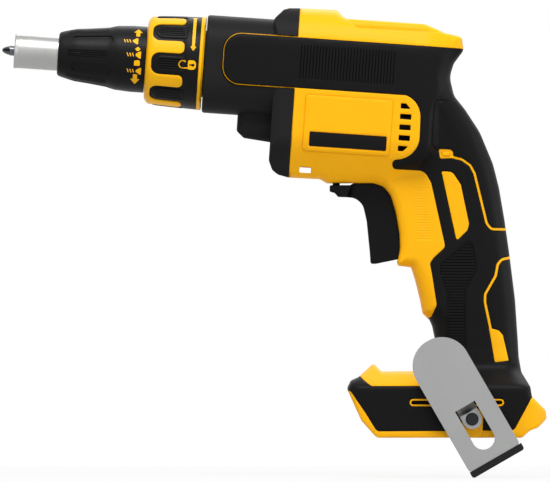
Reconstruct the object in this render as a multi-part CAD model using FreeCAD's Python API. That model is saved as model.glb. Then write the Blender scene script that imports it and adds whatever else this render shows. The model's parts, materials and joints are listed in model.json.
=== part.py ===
"""Cordless drywall screwdriver without its battery pack, in millimetres.

The origin is the middle of the pack rails' lower plane. +Z is up, the nose points to -X, and the belt hook is
on the -Y side. Barrel pieces are drawn level, with u along the spindle to the rear and w up, and are then
tilted nose-up as one. Cuts run one millimetre past the faces they start from.
"""
import FreeCAD, Part
import math
import os

V = FreeCAD.Vector

# Fits and clearances
RUN_FIT = 0.05
SLIDE_FIT = 0.08
SEAT_FIT = 0.02
FREE_GAP = 0.3
FACE_GAP = 0.2

# Barrel line: tilt, and the place of the gear case's front face on the spindle axis
BARREL_TILT = 3.9
CASE_FRONT_X = -133.3
CASE_FRONT_Z = 210.6

# Gears
MODULE = 1.0
PINION_TEETH = 12
GEAR_TEETH = 42
PRESSURE_ANGLE = 25.0
BACKLASH = 0.15
GEAR_WIDTH = 10.0
PINION_WIDTH = 13.0
AXIS_DROP = MODULE * (PINION_TEETH + GEAR_TEETH) / 2
GEAR_TIP_R = MODULE * (GEAR_TEETH / 2 + 1)
PINION_TIP_R = MODULE * (PINION_TEETH / 2 + 1)

# Gear case
CASE_LENGTH = 48.6
CASE_RIM = 3.0
CASE_HALF_WIDTH = 27.4
CASE_HALF_HEIGHT = 27.6
CASE_CORNER = 20.0
CASE_EDGE = 1.5
CASE_FRONT_WALL = 6.0
GEAR_ROOM = 1.0
PINION_ROOM = 1.2
CASE_INNER_R = GEAR_TIP_R + GEAR_ROOM
FLANGE_FRONT = 36.8
FLANGE_CORNER = 8.0
BULGE_FRONT = 17.5
BULGE_TOP = -15.0
BULGE_LOW = -41.9
BULGE_HALF_WIDTH = 14.0
BULGE_CORNER = 9.0
BULGE_NOSE = 5.0
BULGE_SIDE = ((BULGE_FRONT, BULGE_TOP, 0), (BULGE_FRONT, -36.6, 2), (21.8, -40.3, 2.5),
              (FLANGE_FRONT + 2, BULGE_LOW, 0), (FLANGE_FRONT + 2, BULGE_TOP, 0))
SPIGOT_R = 16.0
SPIGOT_LENGTH = 24.0
FLANGE_SCREW_Y = 16.0
FLANGE_SCREW_W = -50.0
FLANGE_SEAT = 41.0
FLANGE_BOSS_R = 4.5
FLANGE_BOSS_LENGTH = 11.0
SCREW_R = 1.75
SCREW_HEAD_R = 3.2
SCREW_HEAD_H = 2.4
FLANGE_SCREW_LENGTH = 16.0
SCREW_END_ROOM = 0.5

# Bearings and bush: bore radius, outer radius and width
BUSH = (7.0, 10.0, 16.0)
BUSH_INSET = 2.0
REAR_SPINDLE_BEARING = (4.0, 11.0, 7.0)
MOTOR_FRONT_BEARING = (2.5, 8.0, 5.0)
PINION_BEARING = (2.5, 6.5, 4.0)
MOTOR_REAR_BEARING = (2.5, 8.0, 5.0)
RING_SHARE = 0.32
RING_GROOVE = 0.4

# Bearing plate behind the gear case, and its screws
PLATE_THICK = 8.0
PLATE_LOW = -40.0
PLATE_SCREW_R = 26.0
PLATE_SCREW_ANGLES = (40.0, 140.0, 222.0, 318.0)
PLATE_SCREW_LENGTH = 14.0

# Spindle, clutch and bit
SPINDLE_FRONT = -48.0
SPINDLE_R = BUSH[0]
SPINDLE_STEP = -2.0
SPINDLE_MID_R = 6.0
SPINDLE_TRAVEL = 4.0
WASHER_THICK = 2.2
WASHER_R = 13.0
CLUTCH_R = 20.0
CLUTCH_THICK = 5.0
CLUTCH_GAP = 2.0
CLUTCH_DOG = 4.0
GEAR_DOG = 3.0
DOG_COUNT = 6
DOG_INNER_R = 15.0
DOG_OUTER_R = 19.0
DOG_HALF_ANGLE = 10.0
SPRING_WASHER_THICK = 1.0
SPRING_WASHER_R = 10.1
SPRING_WIRE = 1.6
SPRING_R = 9.6
HEX_FLATS = 6.35
HEX_FIT = 0.08
HOLDER_SHANK = 13.0
HOLDER_R = 5.2
HOLDER_FRONT = -104.6
BIT_LENGTH = 25.0
BIT_TIP = -117.6
BIT_NECK_R = 2.8
BIT_NECK_LENGTH = 7.5
BIT_CONE = 3.6
BIT_SHOULDER = (1.7, 2.2)
BIT_POINT_R = 0.9
FLUTE_SHARE = 0.7
FLUTE_LEAN = 8.0

# Nose: sleeve on the spigot, locator, depth cone and lock collar
SLEEVE_REAR = -1.0
SLEEVE_R = 18.8
SLEEVE_SHOULDER = -27.0
SLEEVE_MID_R = 14.0
SLEEVE_MID_BORE = 11.0
SLEEVE_MID_FRONT = -54.0
SLEEVE_TIP_R = 8.2
SLEEVE_TIP_BORE = 6.2
SLEEVE_TIP_FRONT = -76.0
SLEEVE_WALL = 3.0
LOCATOR_FRONT = -110.7
LOCATOR_REAR = -60.0
LOCATOR_R = 9.6
LOCATOR_RIM_R = 9.9
LOCATOR_RIM = 2.0
LOCATOR_CHAMFER = 0.5
LOCATOR_BORE = 6.2
LOCATOR_FLANGE_R = 11.9
LOCATOR_FLANGE = 6.0
LOCATOR_TRAVEL = 2.5
CONE_FRONT = -86.0
CONE_REAR = -36.5
CONE_FRONT_WALL = 4.5
CONE_PROFILE = ((0.0, 11.3), (0.7, 12.3), (2.4, 12.9), (5.4, 13.7), (10.0, 14.9), (19.0, 15.8), (28.0, 16.9),
                (33.0, 18.1), (42.0, 18.7))
CONE_PADS = 6
CONE_CHANNEL_FIRST = 34.0
CONE_CHANNEL_HALF_ANGLE = 13.0
CONE_CHANNEL_DEPTH = 0.9
CONE_CHANNEL_START = 8.0
CONE_CHANNEL_END = 31.0
COLLAR_FRONT = -36.2
COLLAR_REAR = -4.4
COLLAR_PROFILE = ((0.0, 20.8), (0.5, 22.5), (2.0, 24.4), (4.0, 25.0), (8.0, 25.4), (16.0, 25.8), (31.8, 26.4))
COLLAR_CORE_R = 22.0
COLLAR_FRONT_RING = 3.0
COLLAR_REAR_RING = 2.2
COLLAR_FINGERS = 8
COLLAR_FINGER_FIRST = 18.5
COLLAR_FINGER_HALF_ANGLE = 8.5
COLLAR_FINGER_END = 21.4
COLLAR_GRIP_GAP = 0.1

# Motor
STATOR_R = 23.0
STATOR_BORE = 12.6
STATOR_FRONT = 68.0
STATOR_LENGTH = 26.0
STATOR_SLOTS = 6
STATOR_RIB = 3.0
STATOR_RIB_INSET = 2.0
STATOR_RIB_DROP = 3.0
WINDING_OUTER_R = 20.0
WINDING_INNER_R = 14.0
WINDING_OVERHANG = 4.0
ROTOR_R = 12.0
ROTOR_OVERHANG = 1.0
SHAFT_R = MOTOR_FRONT_BEARING[0]
SHAFT_FRONT = 23.0
SHAFT_PAST_BEARING = 1.5
BOARD_GAP = 2.0
BOARD_THICK = 1.6
BOARD_R = 20.5
BOARD_TAB_HALF_WIDTH = 14.0
BOARD_TAB_DROP = 31.5
FAN_GAP = 3.5
FAN_WIDTH = 10.0
FAN_R = 20.5
FAN_HUB_R = 6.0
FAN_DISC = 1.5
FAN_BLADE_HALF = 0.6
FAN_BLADES = 9
REAR_BEARING_GAP = 4.0
HOLDER_BAR_HALF_HEIGHT = 9.5
HOLDER_BAR_THICK = 7.0

# Housing shell: outlines are corner points with their rounding, on the side view (u, w) or (x, z)
WALL = 2.8
SKIN = 1.3
BARREL_HALF_WIDTH = 28.6
BARREL_SIDE = (
    (48.6, -60.9, 1), (48.6, 34.8, 1.5), (69.4, 35.4, 4), (74.0, 30.7, 5), (119.5, 30.8, 14),
    (131.5, 26.4, 12), (140.6, 24.9, 3), (142.3, 17.4, 4), (136.0, 5.5, 8), (135.4, -20.0, 0),
    (104.0, -60.4, 0), (70.6, -62.7, 2), (66.2, -60.6, 3))
BARREL_TOP = 36.5
BARREL_TOP_CORNER = 26.0
BARREL_KNEE = -41.0
BARREL_KNEE_CORNER = 14.0
BARREL_BOTTOM = -66.0
BARREL_BOTTOM_HALF_WIDTH = 15.0
BARREL_BOTTOM_CORNER = 8.0
BARREL_REAR = 143.5
BARREL_REAR_CORNER = 24.0
FLANGE_SIDE = (
    (34.4, 20.0, 0), (FLANGE_FRONT, 14.0, 0), (FLANGE_FRONT, -52.0, 4), (39.0, -57.2, 4), (42.5, -59.6, 4),
    (48.6, -60.9, 0), (48.6, 34.8, 0), (42.8, 34.4, 4), (39.6, 33.4, 2), (35.2, 28.6, 1.5), (34.4, 27.2, 0))

# Side band: the arms that reach forward along the gear case under the rubber
BAND_FRONT = 7.6
BAND_LOW = -10.3
BAND_HIGH = 18.1
BAND_END_R = 9.8
BAND_EDGE = 0.6
ARM_REAR = 53.0

# Handle: height, front, back and half width of its level sections
UPPER_HANDLE = (
    (95.5, -27.1, 36.9, 16.5), (104.5, -26.6, 35.6, 16.5), (122.6, -27.4, 33.0, 16.5),
    (140.7, -33.0, 29.9, 17.0), (154.2, -34.0, 26.5, 18.0), (163.0, -33.0, 23.4, 19.0),
    (172.3, -32.0, 18.9, 20.0), (185.9, -30.0, 10.2, 22.0), (199.4, -28.0, 2.8, 23.0))
LOWER_HANDLE = (
    (27.0, -4.0, 43.5, 20.5), (36.7, -3.4, 41.8, 19.0), (50.3, -5.5, 40.7, 17.2), (63.8, -8.6, 40.1, 16.5),
    (77.4, -14.6, 39.0, 16.5), (99.0, -20.6, 35.8, 16.0))
HANDLE_CORNER = 13.0
HANDLE_FRAME_CORNER = 6.0

# Foot with the pack rails
FOOT_SIDE = (
    (-49.3, 33.6, 1), (-40.9, 41.5, 1), (-36.4, 36.6, 2), (42.4, 36.7, 4), (47.5, 27.7, 3), (48.0, 23.2, 2),
    (55.9, 15.3, 3), (56.5, 10.7, 3), (51.4, 5.6, 3), (46.9, 4.0, 2), (42.4, 0.0, 2), (-39.5, 0.0, 3),
    (-48.0, 9.6, 4), (-55.9, 27.1, 3), (-53.7, 31.6, 2))
FOOT_HALF_WIDTH = 36.0
FOOT_SHOULDER = 28.9
FOOT_TOP = 44.0
FOOT_TOP_HALF_WIDTH = 10.0
FOOT_EDGE = 4.0
FOOT_FRONT = -56.5
FOOT_BACK = 57.0
FOOT_FRONT_CORNER = 9.0
FOOT_BACK_CORNER = 13.0
CHANNEL_HALF_WIDTH = 29.0
CHANNEL_FLOOR = 3.5
CHANNEL_CEILING = 22.0
CHANNEL_BACK = 40.0
RAIL_GAP_HALF = 25.5
FOOT_SLOT = (-19.9, 31.3, 18.7, 20.9)
FOOT_SLOT_DEPTH = 4.0

# Rubber over the handle and foot, and the hard island left free in it
GRIP_SIDE = (
    (-33.0, 194.2, 0), (-13.4, 192.8, 10), (-15.6, 157.0, 12), (-28.2, 156.0, 1.5), (-30.6, 153.7, 1),
    (-27.7, 151.1, 1.5), (-12.4, 150.3, 6), (-8.5, 143.5, 8), (-0.5, 107.3, 3), (-7.3, 101.1, 3),
    (-9.2, 98.0, 2), (-8.2, 92.7, 5), (-5.3, 74.6, 5), (-8.7, 67.5, 1.5), (-13.0, 67.0, 0),
    (-24.0, 60.5, 0), (-24.0, 40.0, 0), (-6.0, 37.6, 1), (-9.0, 29.1, 3), (-42.4, 29.1, 2),
    (-46.3, 32.2, 1), (-50.0, 32.8, 2),
    (-54.5, 26.0, 3), (-45.8, 14.1, 3), (-39.3, 3.4, 2), (37.9, 4.5, 3), (48.0, 22.6, 3), (64.0, 25.4, 0),
    (64.0, 206.0, 0), (-33.0, 206.0, 0))
ISLAND_SIDE = (
    (-2.8, 150.1, 1), (3.4, 149.7, 4), (8.2, 142.5, 3), (12.9, 120.3, 2), (12.0, 116.8, 2), (5.8, 110.7, 2))

# Openings in the housing
VENT_COUNT = 5
VENT_PITCH = 6.0
VENT_HEIGHT = 3.1
VENT_FROM = 108.9
VENT_TO = 115.2
WINDOW = (54.4, 61.0, -57.7, -54.5)
WINDOW_RIM = 1.6

# Trigger and direction selector
TRIGGER_SIDE = (
    (-54.5, 142.0, 0.6), (-57.2, 135.5, 0.6), (-51.6, 135.0, 7), (-47.0, 131.6, 9), (-44.8, 122.0, 20),
    (-43.0, 104.0, 10), (-42.6, 97.8, 2.2), (-39.6, 97.8, 1.5), (-26.4, 100.5, 1.5), (-25.4, 112.0, 10),
    (-28.4, 128.6, 14), (-31.6, 138.0, 8), (-37.0, 144.2, 4), (-51.2, 144.2, 1))
TRIGGER_HALF_WIDTH = 9.0
TRIGGER_NOSE_SHARE = 0.6
TRIGGER_TRAVEL = 7.0
TRIGGER_LINE_Z = 118.0
PLUNGER_R = 3.0
PLUNGER_START_X = -30.0
PLUNGER_REACH = 4.0
TRIGGER_SPRING_R = 5.5
SELECTOR_SIDE = (
    (-65.7, 142.2, 0.8), (-65.7, 138.6, 0.8), (-62.9, 137.8, 0.3), (-60.9, 135.6, 0.8), (-57.7, 135.6, 0.4),
    (-54.9, 142.2, 0.4))
SELECTOR_HALF_LENGTH = 13.0
SELECTOR_TRAVEL = 3.5
SELECTOR_STEM_X = (-64.0, -60.0)
SELECTOR_STEM_HALF = 4.0
SELECTOR_PLATE_HALF = 9.0
SELECTOR_PLATE_THICK = 2.0
SELECTOR_PLATE_LIFT = 4.4
SELECTOR_HOLE = (138.0, 147.0)

# Electrics in the handle and foot: x from, x to, z from, z to and half width
SWITCH = (-9.0, 24.0, 98.0, 138.0, 8.0)
CONTROLLER = (2.0, 32.0, 48.0, 84.0, 11.0)
BLOCK_CORNER = 2.0
PAD_HEIGHT = 5.0
PAD_INSET = 6.0
PAD_LENGTH = 7.0
TERMINAL = (8.0, 11.0, 21.0)
TERMINAL_STEP = 3.0
CONTACT_COUNT = 5
CONTACT_PITCH = 7.5
CONTACT_THICK = 0.8
CONTACT_LENGTH = 14.0
CONTACT_HEIGHT = 5.0
CONTACT_DROP = 3.5
WIRE_R = 1.0
BATTERY_WIRE_X = 9.6
BATTERY_WIRE_Y = 4.5
MOTOR_WIRE_X = (4.0, 7.5, 11.0)
MOTOR_WIRE_Y = 9.7
MOTOR_WIRE_LIFT = 143.0
MOTOR_WIRE_BEND = 6.0
MOTOR_WAY = (-39.0, -18.0)

# Screws across the housing: place on the side view
SCREW_SEAT_Y = 9.0
HOUSING_SCREW_LENGTH = 22.0
HOUSING_SCREW_R = 1.5
HOUSING_HEAD_R = 3.0
BOSS_R = 4.6
BARREL_SCREWS = ((62.5, 25.5), (118.0, 21.0), (84.0, -56.4), (128.5, -11.5))
FOOT_SCREWS = ((17.5, 156.5), (20.0, 91.0), (16.5, 42.0), (-37.0, 30.2), (47.2, 14.0))

# Belt hook on the foot's side
HOOK_SCREW_X = 14.3
HOOK_SCREW_Z = 10.5
HOOK_LEAN = 30.0
HOOK_THICK = 1.5
HOOK_STANDOFF = 8.0
HOOK_HALF_WIDTH = 16.3
HOOK_TOP = 50.7
HOOK_BOTTOM = -25.1
HOOK_CORNER = 1.5
HOOK_BEND = 1.0
HOOK_SLOT_TOP = 8.5
HOOK_SLOT_BOTTOM = -18.6
HOOK_SLOT_HALF = 6.35
TONGUE_HALF = 5.5
TONGUE_HEAD_ROOM = 1.0
LIP_INSET = 2.0
LIP_THIN = 0.4
LIP_DEPTH = 4.0
GUARD_THICK = 1.2
GUARD_OVERHANG = 0.8
HOOK_SCREW_R = 2.0
HOOK_HOLE_R = 2.1
HOOK_BOSS_R = 6.8
HOOK_HOLE_DEPTH = 6.0
HOOK_HEAD_R = 3.6
HOOK_HEAD_H = 2.4

# Work light
LIGHT_W = -31.8
LIGHT_R = 3.4
LIGHT_DEPTH = 3.0
LIGHT_BOARD_THICK = 1.2

# Lengths that only pass right through a piece, and the share of a half width that a full round end takes
THROUGH = 100.0
ROUND_END = 0.99


def corner_room(radius, neighbour, length):
    """A corner's share of the side that it has in common with its neighbour."""
    return 0.98 * length * radius / (radius + neighbour) if radius else 0.0


def rounded_edges(points, place):
    """Edges of a closed outline whose corners (a, b, radius) are rounded by tangent arcs."""
    count = len(points)
    joints = []
    for i, (a, b, radius) in enumerate(points):
        corner = V(a, b, 0)
        before = V(points[i - 1][0], points[i - 1][1], 0) - corner
        after = V(points[(i + 1) % count][0], points[(i + 1) % count][1], 0) - corner
        room = min(corner_room(radius, points[i - 1][2], before.Length),
                   corner_room(radius, points[(i + 1) % count][2], after.Length))
        before.normalize()
        after.normalize()
        half = before.getAngle(after) / 2
        reach = min(radius / math.tan(half), room) if radius else 0.0
        start = corner + before * reach
        end = corner + after * reach
        middle = None
        if reach > 1e-6:
            bisector = before + after
            bisector.normalize()
            arc_r = reach * math.tan(half)
            middle = corner + bisector * (arc_r / math.sin(half) - arc_r)
        joints.append((start, middle, end))
    edges = []
    for i, (start, middle, end) in enumerate(joints):
        if middle is not None:
            edges.append(Part.Arc(place(start), place(middle), place(end)).toShape())
        following = joints[(i + 1) % count][0]
        if (following - end).Length > 1e-6:
            edges.append(Part.LineSegment(place(end), place(following)).toShape())
    return edges


def outline_face(points, place, inset=0.0):
    face = Part.Face(Part.Wire(rounded_edges(points, place)))
    if inset:
        face = face.makeOffset2D(-inset)
    return face


def side_prism(points, y_from, y_to, inset=0.0):
    face = outline_face(points, lambda p: V(p.x, 0, p.y), inset)
    face.translate(V(0, y_from, 0))
    return face.extrude(V(0, y_to - y_from, 0))


def front_prism(points, u_from, u_to, inset=0.0):
    face = outline_face(points, lambda p: V(0, p.x, p.y), inset)
    face.translate(V(u_from, 0, 0))
    return face.extrude(V(u_to - u_from, 0, 0))


def plan_prism(points, z_from, z_to, inset=0.0):
    face = outline_face(points, lambda p: V(p.x, p.y, 0), inset)
    face.translate(V(0, 0, z_from))
    return face.extrude(V(0, 0, z_to - z_from))


def box(x_from, x_to, y_from, y_to, z_from, z_to):
    return Part.makeBox(x_to - x_from, y_to - y_from, z_to - z_from, V(x_from, y_from, z_from))


def cylinder(radius, u_from, u_to, w=0.0, y=0.0):
    return Part.makeCylinder(radius, u_to - u_from, V(u_from, y, w), V(1, 0, 0))


def tube(outer, inner, u_from, u_to, w=0.0):
    return cylinder(outer, u_from, u_to, w).cut(cylinder(inner, u_from - 1, u_to + 1, w))


def cross_cylinder(radius, x, z, y_from, y_to):
    return Part.makeCylinder(radius, y_to - y_from, V(x, y_from, z), V(0, 1, 0))


def revolved(profile, w=0.0):
    """A solid of revolution about the spindle line from a closed (u, radius) outline."""
    points = [V(u, 0, r) for u, r in profile]
    face = Part.Face(Part.makePolygon(points + points[:1]))
    solid = face.revolve(V(0, 0, 0), V(1, 0, 0), 360)
    solid.translate(V(0, 0, w))
    return solid


def polar(radius, degrees):
    """A point (y, w) at an angle counted upwards from the hook side."""
    angle = math.radians(degrees)
    return -radius * math.cos(angle), radius * math.sin(angle)


def sector(inner, outer, middle, half_angle, u_from, u_to):
    """A curved block between two radii, centred on an angle about the spindle line."""
    def corner(radius, degrees):
        y, w = polar(radius, degrees)
        return V(u_from, y, w)
    low = middle - half_angle
    high = middle + half_angle
    edges = [
        Part.Arc(corner(outer, low), corner(outer, middle), corner(outer, high)).toShape(),
        Part.LineSegment(corner(outer, high), corner(inner, high)).toShape(),
        Part.Arc(corner(inner, high), corner(inner, middle), corner(inner, low)).toShape(),
        Part.LineSegment(corner(inner, low), corner(outer, low)).toShape()]
    return Part.Face(Part.Wire(edges)).extrude(V(u_to - u_from, 0, 0))


def hexagon(flats, u_from, u_to):
    radius = flats / math.sqrt(3)
    points = [V(u_from, *polar(radius, 60 * i)) for i in range(7)]
    return Part.Face(Part.makePolygon(points)).extrude(V(u_to - u_from, 0, 0))


def fused(shapes):
    return shapes[0].multiFuse(shapes[1:]).removeSplitter()


def tilted(shape):
    """A level barrel piece put at its place and tilt in the whole tool."""
    result = shape.copy()
    turn = FreeCAD.Rotation(V(0, 1, 0), BARREL_TILT)
    result.Placement = FreeCAD.Placement(V(CASE_FRONT_X, 0, CASE_FRONT_Z), turn).multiply(result.Placement)
    return result


def tilted_point(u, w):
    angle = math.radians(BARREL_TILT)
    return (CASE_FRONT_X + u * math.cos(angle) + w * math.sin(angle),
            CASE_FRONT_Z - u * math.sin(angle) + w * math.cos(angle))


def mirrored(shape):
    return shape.mirror(V(0, 0, 0), V(0, 1, 0))


def gear_wheel(teeth, u_from, u_to, first_angle):
    """A spur gear with involute flanks, one tooth centred on the first angle."""
    pitch_r = MODULE * teeth / 2
    base_r = pitch_r * math.cos(math.radians(PRESSURE_ANGLE))
    root_r = pitch_r - 1.25 * MODULE
    tip_r = pitch_r + MODULE

    def involute(radius):
        turn = math.acos(min(1.0, base_r / radius))
        return math.tan(turn) - turn
    half_tooth = math.pi / (2 * teeth) - BACKLASH / (2 * pitch_r) + involute(pitch_r)
    start_r = max(base_r, root_r)
    flank = [(root_r, half_tooth - involute(start_r))]
    steps = 5
    for k in range(steps + 1):
        radius = start_r + (tip_r - start_r) * k / steps
        if radius > root_r + 1e-6:
            flank.append((radius, half_tooth - involute(radius)))
    points = []
    for i in range(teeth):
        centre = math.radians(first_angle) + 2 * math.pi * i / teeth
        for radius, half in flank:
            points.append(V(u_from, *polar(radius, math.degrees(centre - half))))
        for radius, half in reversed(flank):
            points.append(V(u_from, *polar(radius, math.degrees(centre + half))))
    return Part.Face(Part.makePolygon(points + points[:1])).extrude(V(u_to - u_from, 0, 0))


def bearing(sizes, u_from, w):
    """A shielded ball bearing as one ring with a groove on each face."""
    bore, outer, width = sizes
    wall = outer - bore
    ring = tube(outer, bore + RUN_FIT, u_from, u_from + width, w)
    groove = tube(outer - RING_SHARE * wall, bore + RING_SHARE * wall, u_from - 1, u_from + RING_GROOVE, w)
    other = groove.copy()
    other.translate(V(width + 1 - RING_GROOVE, 0, 0))
    return ring.cut(groove).cut(other)


# Places that follow from the sizes above
PLATE_REAR = CASE_LENGTH + PLATE_THICK
GEAR_REAR = CASE_LENGTH - WASHER_THICK - FACE_GAP
GEAR_FRONT = GEAR_REAR - GEAR_WIDTH
CLUTCH_DOG_TIP = GEAR_FRONT - GEAR_DOG - CLUTCH_GAP
CLUTCH_REAR = CLUTCH_DOG_TIP - CLUTCH_DOG
CLUTCH_FRONT = CLUTCH_REAR - CLUTCH_THICK
SPINDLE_SHOULDER = CASE_LENGTH - SPINDLE_TRAVEL - FREE_GAP
BUSH_FRONT = BUSH_INSET - SPIGOT_LENGTH
BUSH_REAR = BUSH_FRONT + BUSH[2]
SPINDLE_BEARING_FRONT = PLATE_REAR - REAR_SPINDLE_BEARING[2]
JOURNAL_END = PLATE_REAR + SHAFT_PAST_BEARING
MOTOR_BEARING_FRONT = PLATE_REAR - MOTOR_FRONT_BEARING[2]
PINION_BEARING_FRONT = SHAFT_FRONT + FACE_GAP
PINION_REAR = CASE_LENGTH - FACE_GAP
PINION_FRONT = PINION_REAR - PINION_WIDTH
STATOR_REAR = STATOR_FRONT + STATOR_LENGTH
BOARD_FRONT = STATOR_REAR + WINDING_OVERHANG + BOARD_GAP
FAN_FRONT = BOARD_FRONT + BOARD_THICK + FAN_GAP
FAN_REAR = FAN_FRONT + FAN_WIDTH
REAR_BEARING_FRONT = FAN_REAR + REAR_BEARING_GAP
SHAFT_END = REAR_BEARING_FRONT + MOTOR_REAR_BEARING[2] + SHAFT_PAST_BEARING
MOTOR_W = -AXIS_DROP
SCREW_POINTS = [tilted_point(u, w) for u, w in BARREL_SCREWS] + list(FOOT_SCREWS)


def barrel_front_outline():
    return ((-BARREL_HALF_WIDTH, BARREL_TOP, BARREL_TOP_CORNER),
            (BARREL_HALF_WIDTH, BARREL_TOP, BARREL_TOP_CORNER),
            (BARREL_HALF_WIDTH, BARREL_KNEE, BARREL_KNEE_CORNER),
            (BARREL_BOTTOM_HALF_WIDTH, BARREL_BOTTOM, BARREL_BOTTOM_CORNER),
            (-BARREL_BOTTOM_HALF_WIDTH, BARREL_BOTTOM, BARREL_BOTTOM_CORNER),
            (-BARREL_HALF_WIDTH, BARREL_KNEE, BARREL_KNEE_CORNER))


def barrel_form(inset):
    """The barrel's outer form, or an inner one that stays open at the front."""
    reach = THROUGH if inset else 0.0
    side = [(u - reach if u <= CASE_LENGTH else u, w, r) for u, w, r in BARREL_SIDE]
    front = CASE_LENGTH - reach
    plan = ((front, -BARREL_HALF_WIDTH, 0), (BARREL_REAR, -BARREL_HALF_WIDTH, BARREL_REAR_CORNER),
            (BARREL_REAR, BARREL_HALF_WIDTH, BARREL_REAR_CORNER), (front, BARREL_HALF_WIDTH, 0))
    body = side_prism(side, -THROUGH, THROUGH, inset)
    body = body.common(front_prism(barrel_front_outline(), front - 1, BARREL_REAR + 1, inset))
    return body.common(plan_prism(plan, -THROUGH, THROUGH, inset))


def handle_loft(stations, front_corner, inset):
    wires = []
    for z, front, back, half in stations:
        x_from = front + inset
        x_to = back - inset
        wide = half - inset
        radius = HANDLE_CORNER - inset
        nose = front_corner - inset
        corners = ((x_from, -wide, nose), (x_to, -wide, radius), (x_to, wide, radius), (x_from, wide, nose))
        wires.append(Part.Wire(rounded_edges(corners, lambda p, z=z: V(p.x, p.y, z))))
    return Part.makeLoft(wires, True, False)


def foot_form(inset):
    front = ((-FOOT_HALF_WIDTH, -1, 0), (FOOT_HALF_WIDTH, -1, 0), (FOOT_HALF_WIDTH, FOOT_SHOULDER, FOOT_EDGE),
             (FOOT_TOP_HALF_WIDTH, FOOT_TOP, FOOT_EDGE), (-FOOT_TOP_HALF_WIDTH, FOOT_TOP, FOOT_EDGE),
             (-FOOT_HALF_WIDTH, FOOT_SHOULDER, FOOT_EDGE))
    plan = ((FOOT_FRONT, -FOOT_HALF_WIDTH, FOOT_FRONT_CORNER),
            (FOOT_BACK, -FOOT_HALF_WIDTH, FOOT_BACK_CORNER),
            (FOOT_BACK, FOOT_HALF_WIDTH, FOOT_BACK_CORNER),
            (FOOT_FRONT, FOOT_HALF_WIDTH, FOOT_FRONT_CORNER))
    body = side_prism(FOOT_SIDE, -THROUGH, THROUGH, inset)
    body = body.common(front_prism(front, FOOT_FRONT - 1, FOOT_BACK + 1, inset))
    return body.common(plan_prism(plan, -1, FOOT_TOP + 1, inset))


def arm_outline(edge):
    low = BAND_LOW - edge
    high = BAND_HIGH + edge
    front = BAND_FRONT - edge
    return ((front, low, BAND_END_R), (front, high, BAND_END_R), (ARM_REAR, high, 0), (ARM_REAR, low, 0))


def arms(inset):
    """The two flat arms beside the gear case, on both sides of the tool."""
    arm = side_prism(arm_outline(BAND_EDGE), -BARREL_HALF_WIDTH + inset, -BARREL_HALF_WIDTH + WALL)
    return arm.fuse(mirrored(arm))


def solid_form(inset):
    """The whole housing's outer form, or the form a given depth inside it."""
    barrel = barrel_form(inset)
    if inset < WALL:
        barrel = barrel.fuse(arms(inset))
    pieces = [tilted(barrel), handle_loft(UPPER_HANDLE, HANDLE_FRAME_CORNER, inset),
              handle_loft(LOWER_HANDLE, HANDLE_CORNER, inset)]
    foot = foot_form(inset)
    if inset >= WALL:
        foot = foot.common(box(-THROUGH, THROUGH, -THROUGH, THROUGH, CHANNEL_CEILING + WALL, THROUGH))
    return fused(pieces + [foot])


def grip_region():
    """The side-view prism that rubber covers: the band, the handle's back and the foot's side."""
    band = side_prism(((BAND_FRONT, BAND_LOW, BAND_END_R), (BAND_FRONT, BAND_HIGH, BAND_END_R),
                       (BARREL_REAR + 5, BAND_HIGH, 0), (BARREL_REAR + 5, BAND_LOW, 0)), -THROUGH, THROUGH)
    hook_boss = cross_cylinder(HOOK_BOSS_R, HOOK_SCREW_X, HOOK_SCREW_Z, -THROUGH - 1, THROUGH + 1)
    region = fused([tilted(band), side_prism(GRIP_SIDE, -THROUGH, THROUGH)])
    return region.cut([side_prism(ISLAND_SIDE, -THROUGH - 1, THROUGH + 1), hook_boss])


def window_outline(rim):
    u_from, u_to, w_from, w_to = WINDOW
    return ((u_from - rim, w_from - rim, 1 + rim), (u_to + rim, w_from - rim, 1 + rim),
            (u_to + rim, w_to + rim, 1 + rim), (u_from - rim, w_to + rim, 1 + rim))


def seat_pads(block, cavity):
    """Ribs on both side walls that grip a block between them, one pair low and one high."""
    x_from, x_to, z_from, z_to, half = block
    pads = []
    for x in (x_from + FACE_GAP, x_to - PAD_LENGTH - FACE_GAP):
        for z in (z_from + PAD_INSET, z_to - PAD_INSET - PAD_HEIGHT):
            pad = box(x, x + PAD_LENGTH, half + FACE_GAP, THROUGH, z, z + PAD_HEIGHT)
            pads += [pad, mirrored(pad)]
    return Part.makeCompound(pads).common(cavity)


def stator_ribs(cavity):
    """Two rings of rib inside the barrel that carry the stator."""
    top = MOTOR_W + STATOR_R - STATOR_RIB_DROP
    ribs = []
    for u in (STATOR_FRONT + STATOR_RIB_INSET, STATOR_REAR - STATOR_RIB_INSET - STATOR_RIB):
        plate = box(u, u + STATOR_RIB, -THROUGH, THROUGH, -THROUGH, top)
        ribs.append(tilted(plate.cut(cylinder(STATOR_R + SLIDE_FIT, u - 1, u + STATOR_RIB + 1, MOTOR_W))))
    return Part.makeCompound(ribs).common(cavity)


def flange_bosses(cavity):
    """Bosses behind the gear case that take its flange screws."""
    end = CASE_LENGTH + FLANGE_BOSS_LENGTH
    bosses = [tilted(cylinder(FLANGE_BOSS_R, CASE_LENGTH, end, FLANGE_SCREW_W, y))
              for y in (-FLANGE_SCREW_Y, FLANGE_SCREW_Y)]
    return Part.makeCompound(bosses).common(cavity)


def trigger_sweep(gap):
    """The room that the trigger needs over its travel."""
    start = side_prism(TRIGGER_SIDE, -TRIGGER_HALF_WIDTH - gap, TRIGGER_HALF_WIDTH + gap, -gap)
    end = start.copy()
    end.translate(V(TRIGGER_TRAVEL, 0, 0))
    middle = start.copy()
    middle.translate(V(TRIGGER_TRAVEL / 2, 0, 0))
    return fused([start, middle, end])


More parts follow.
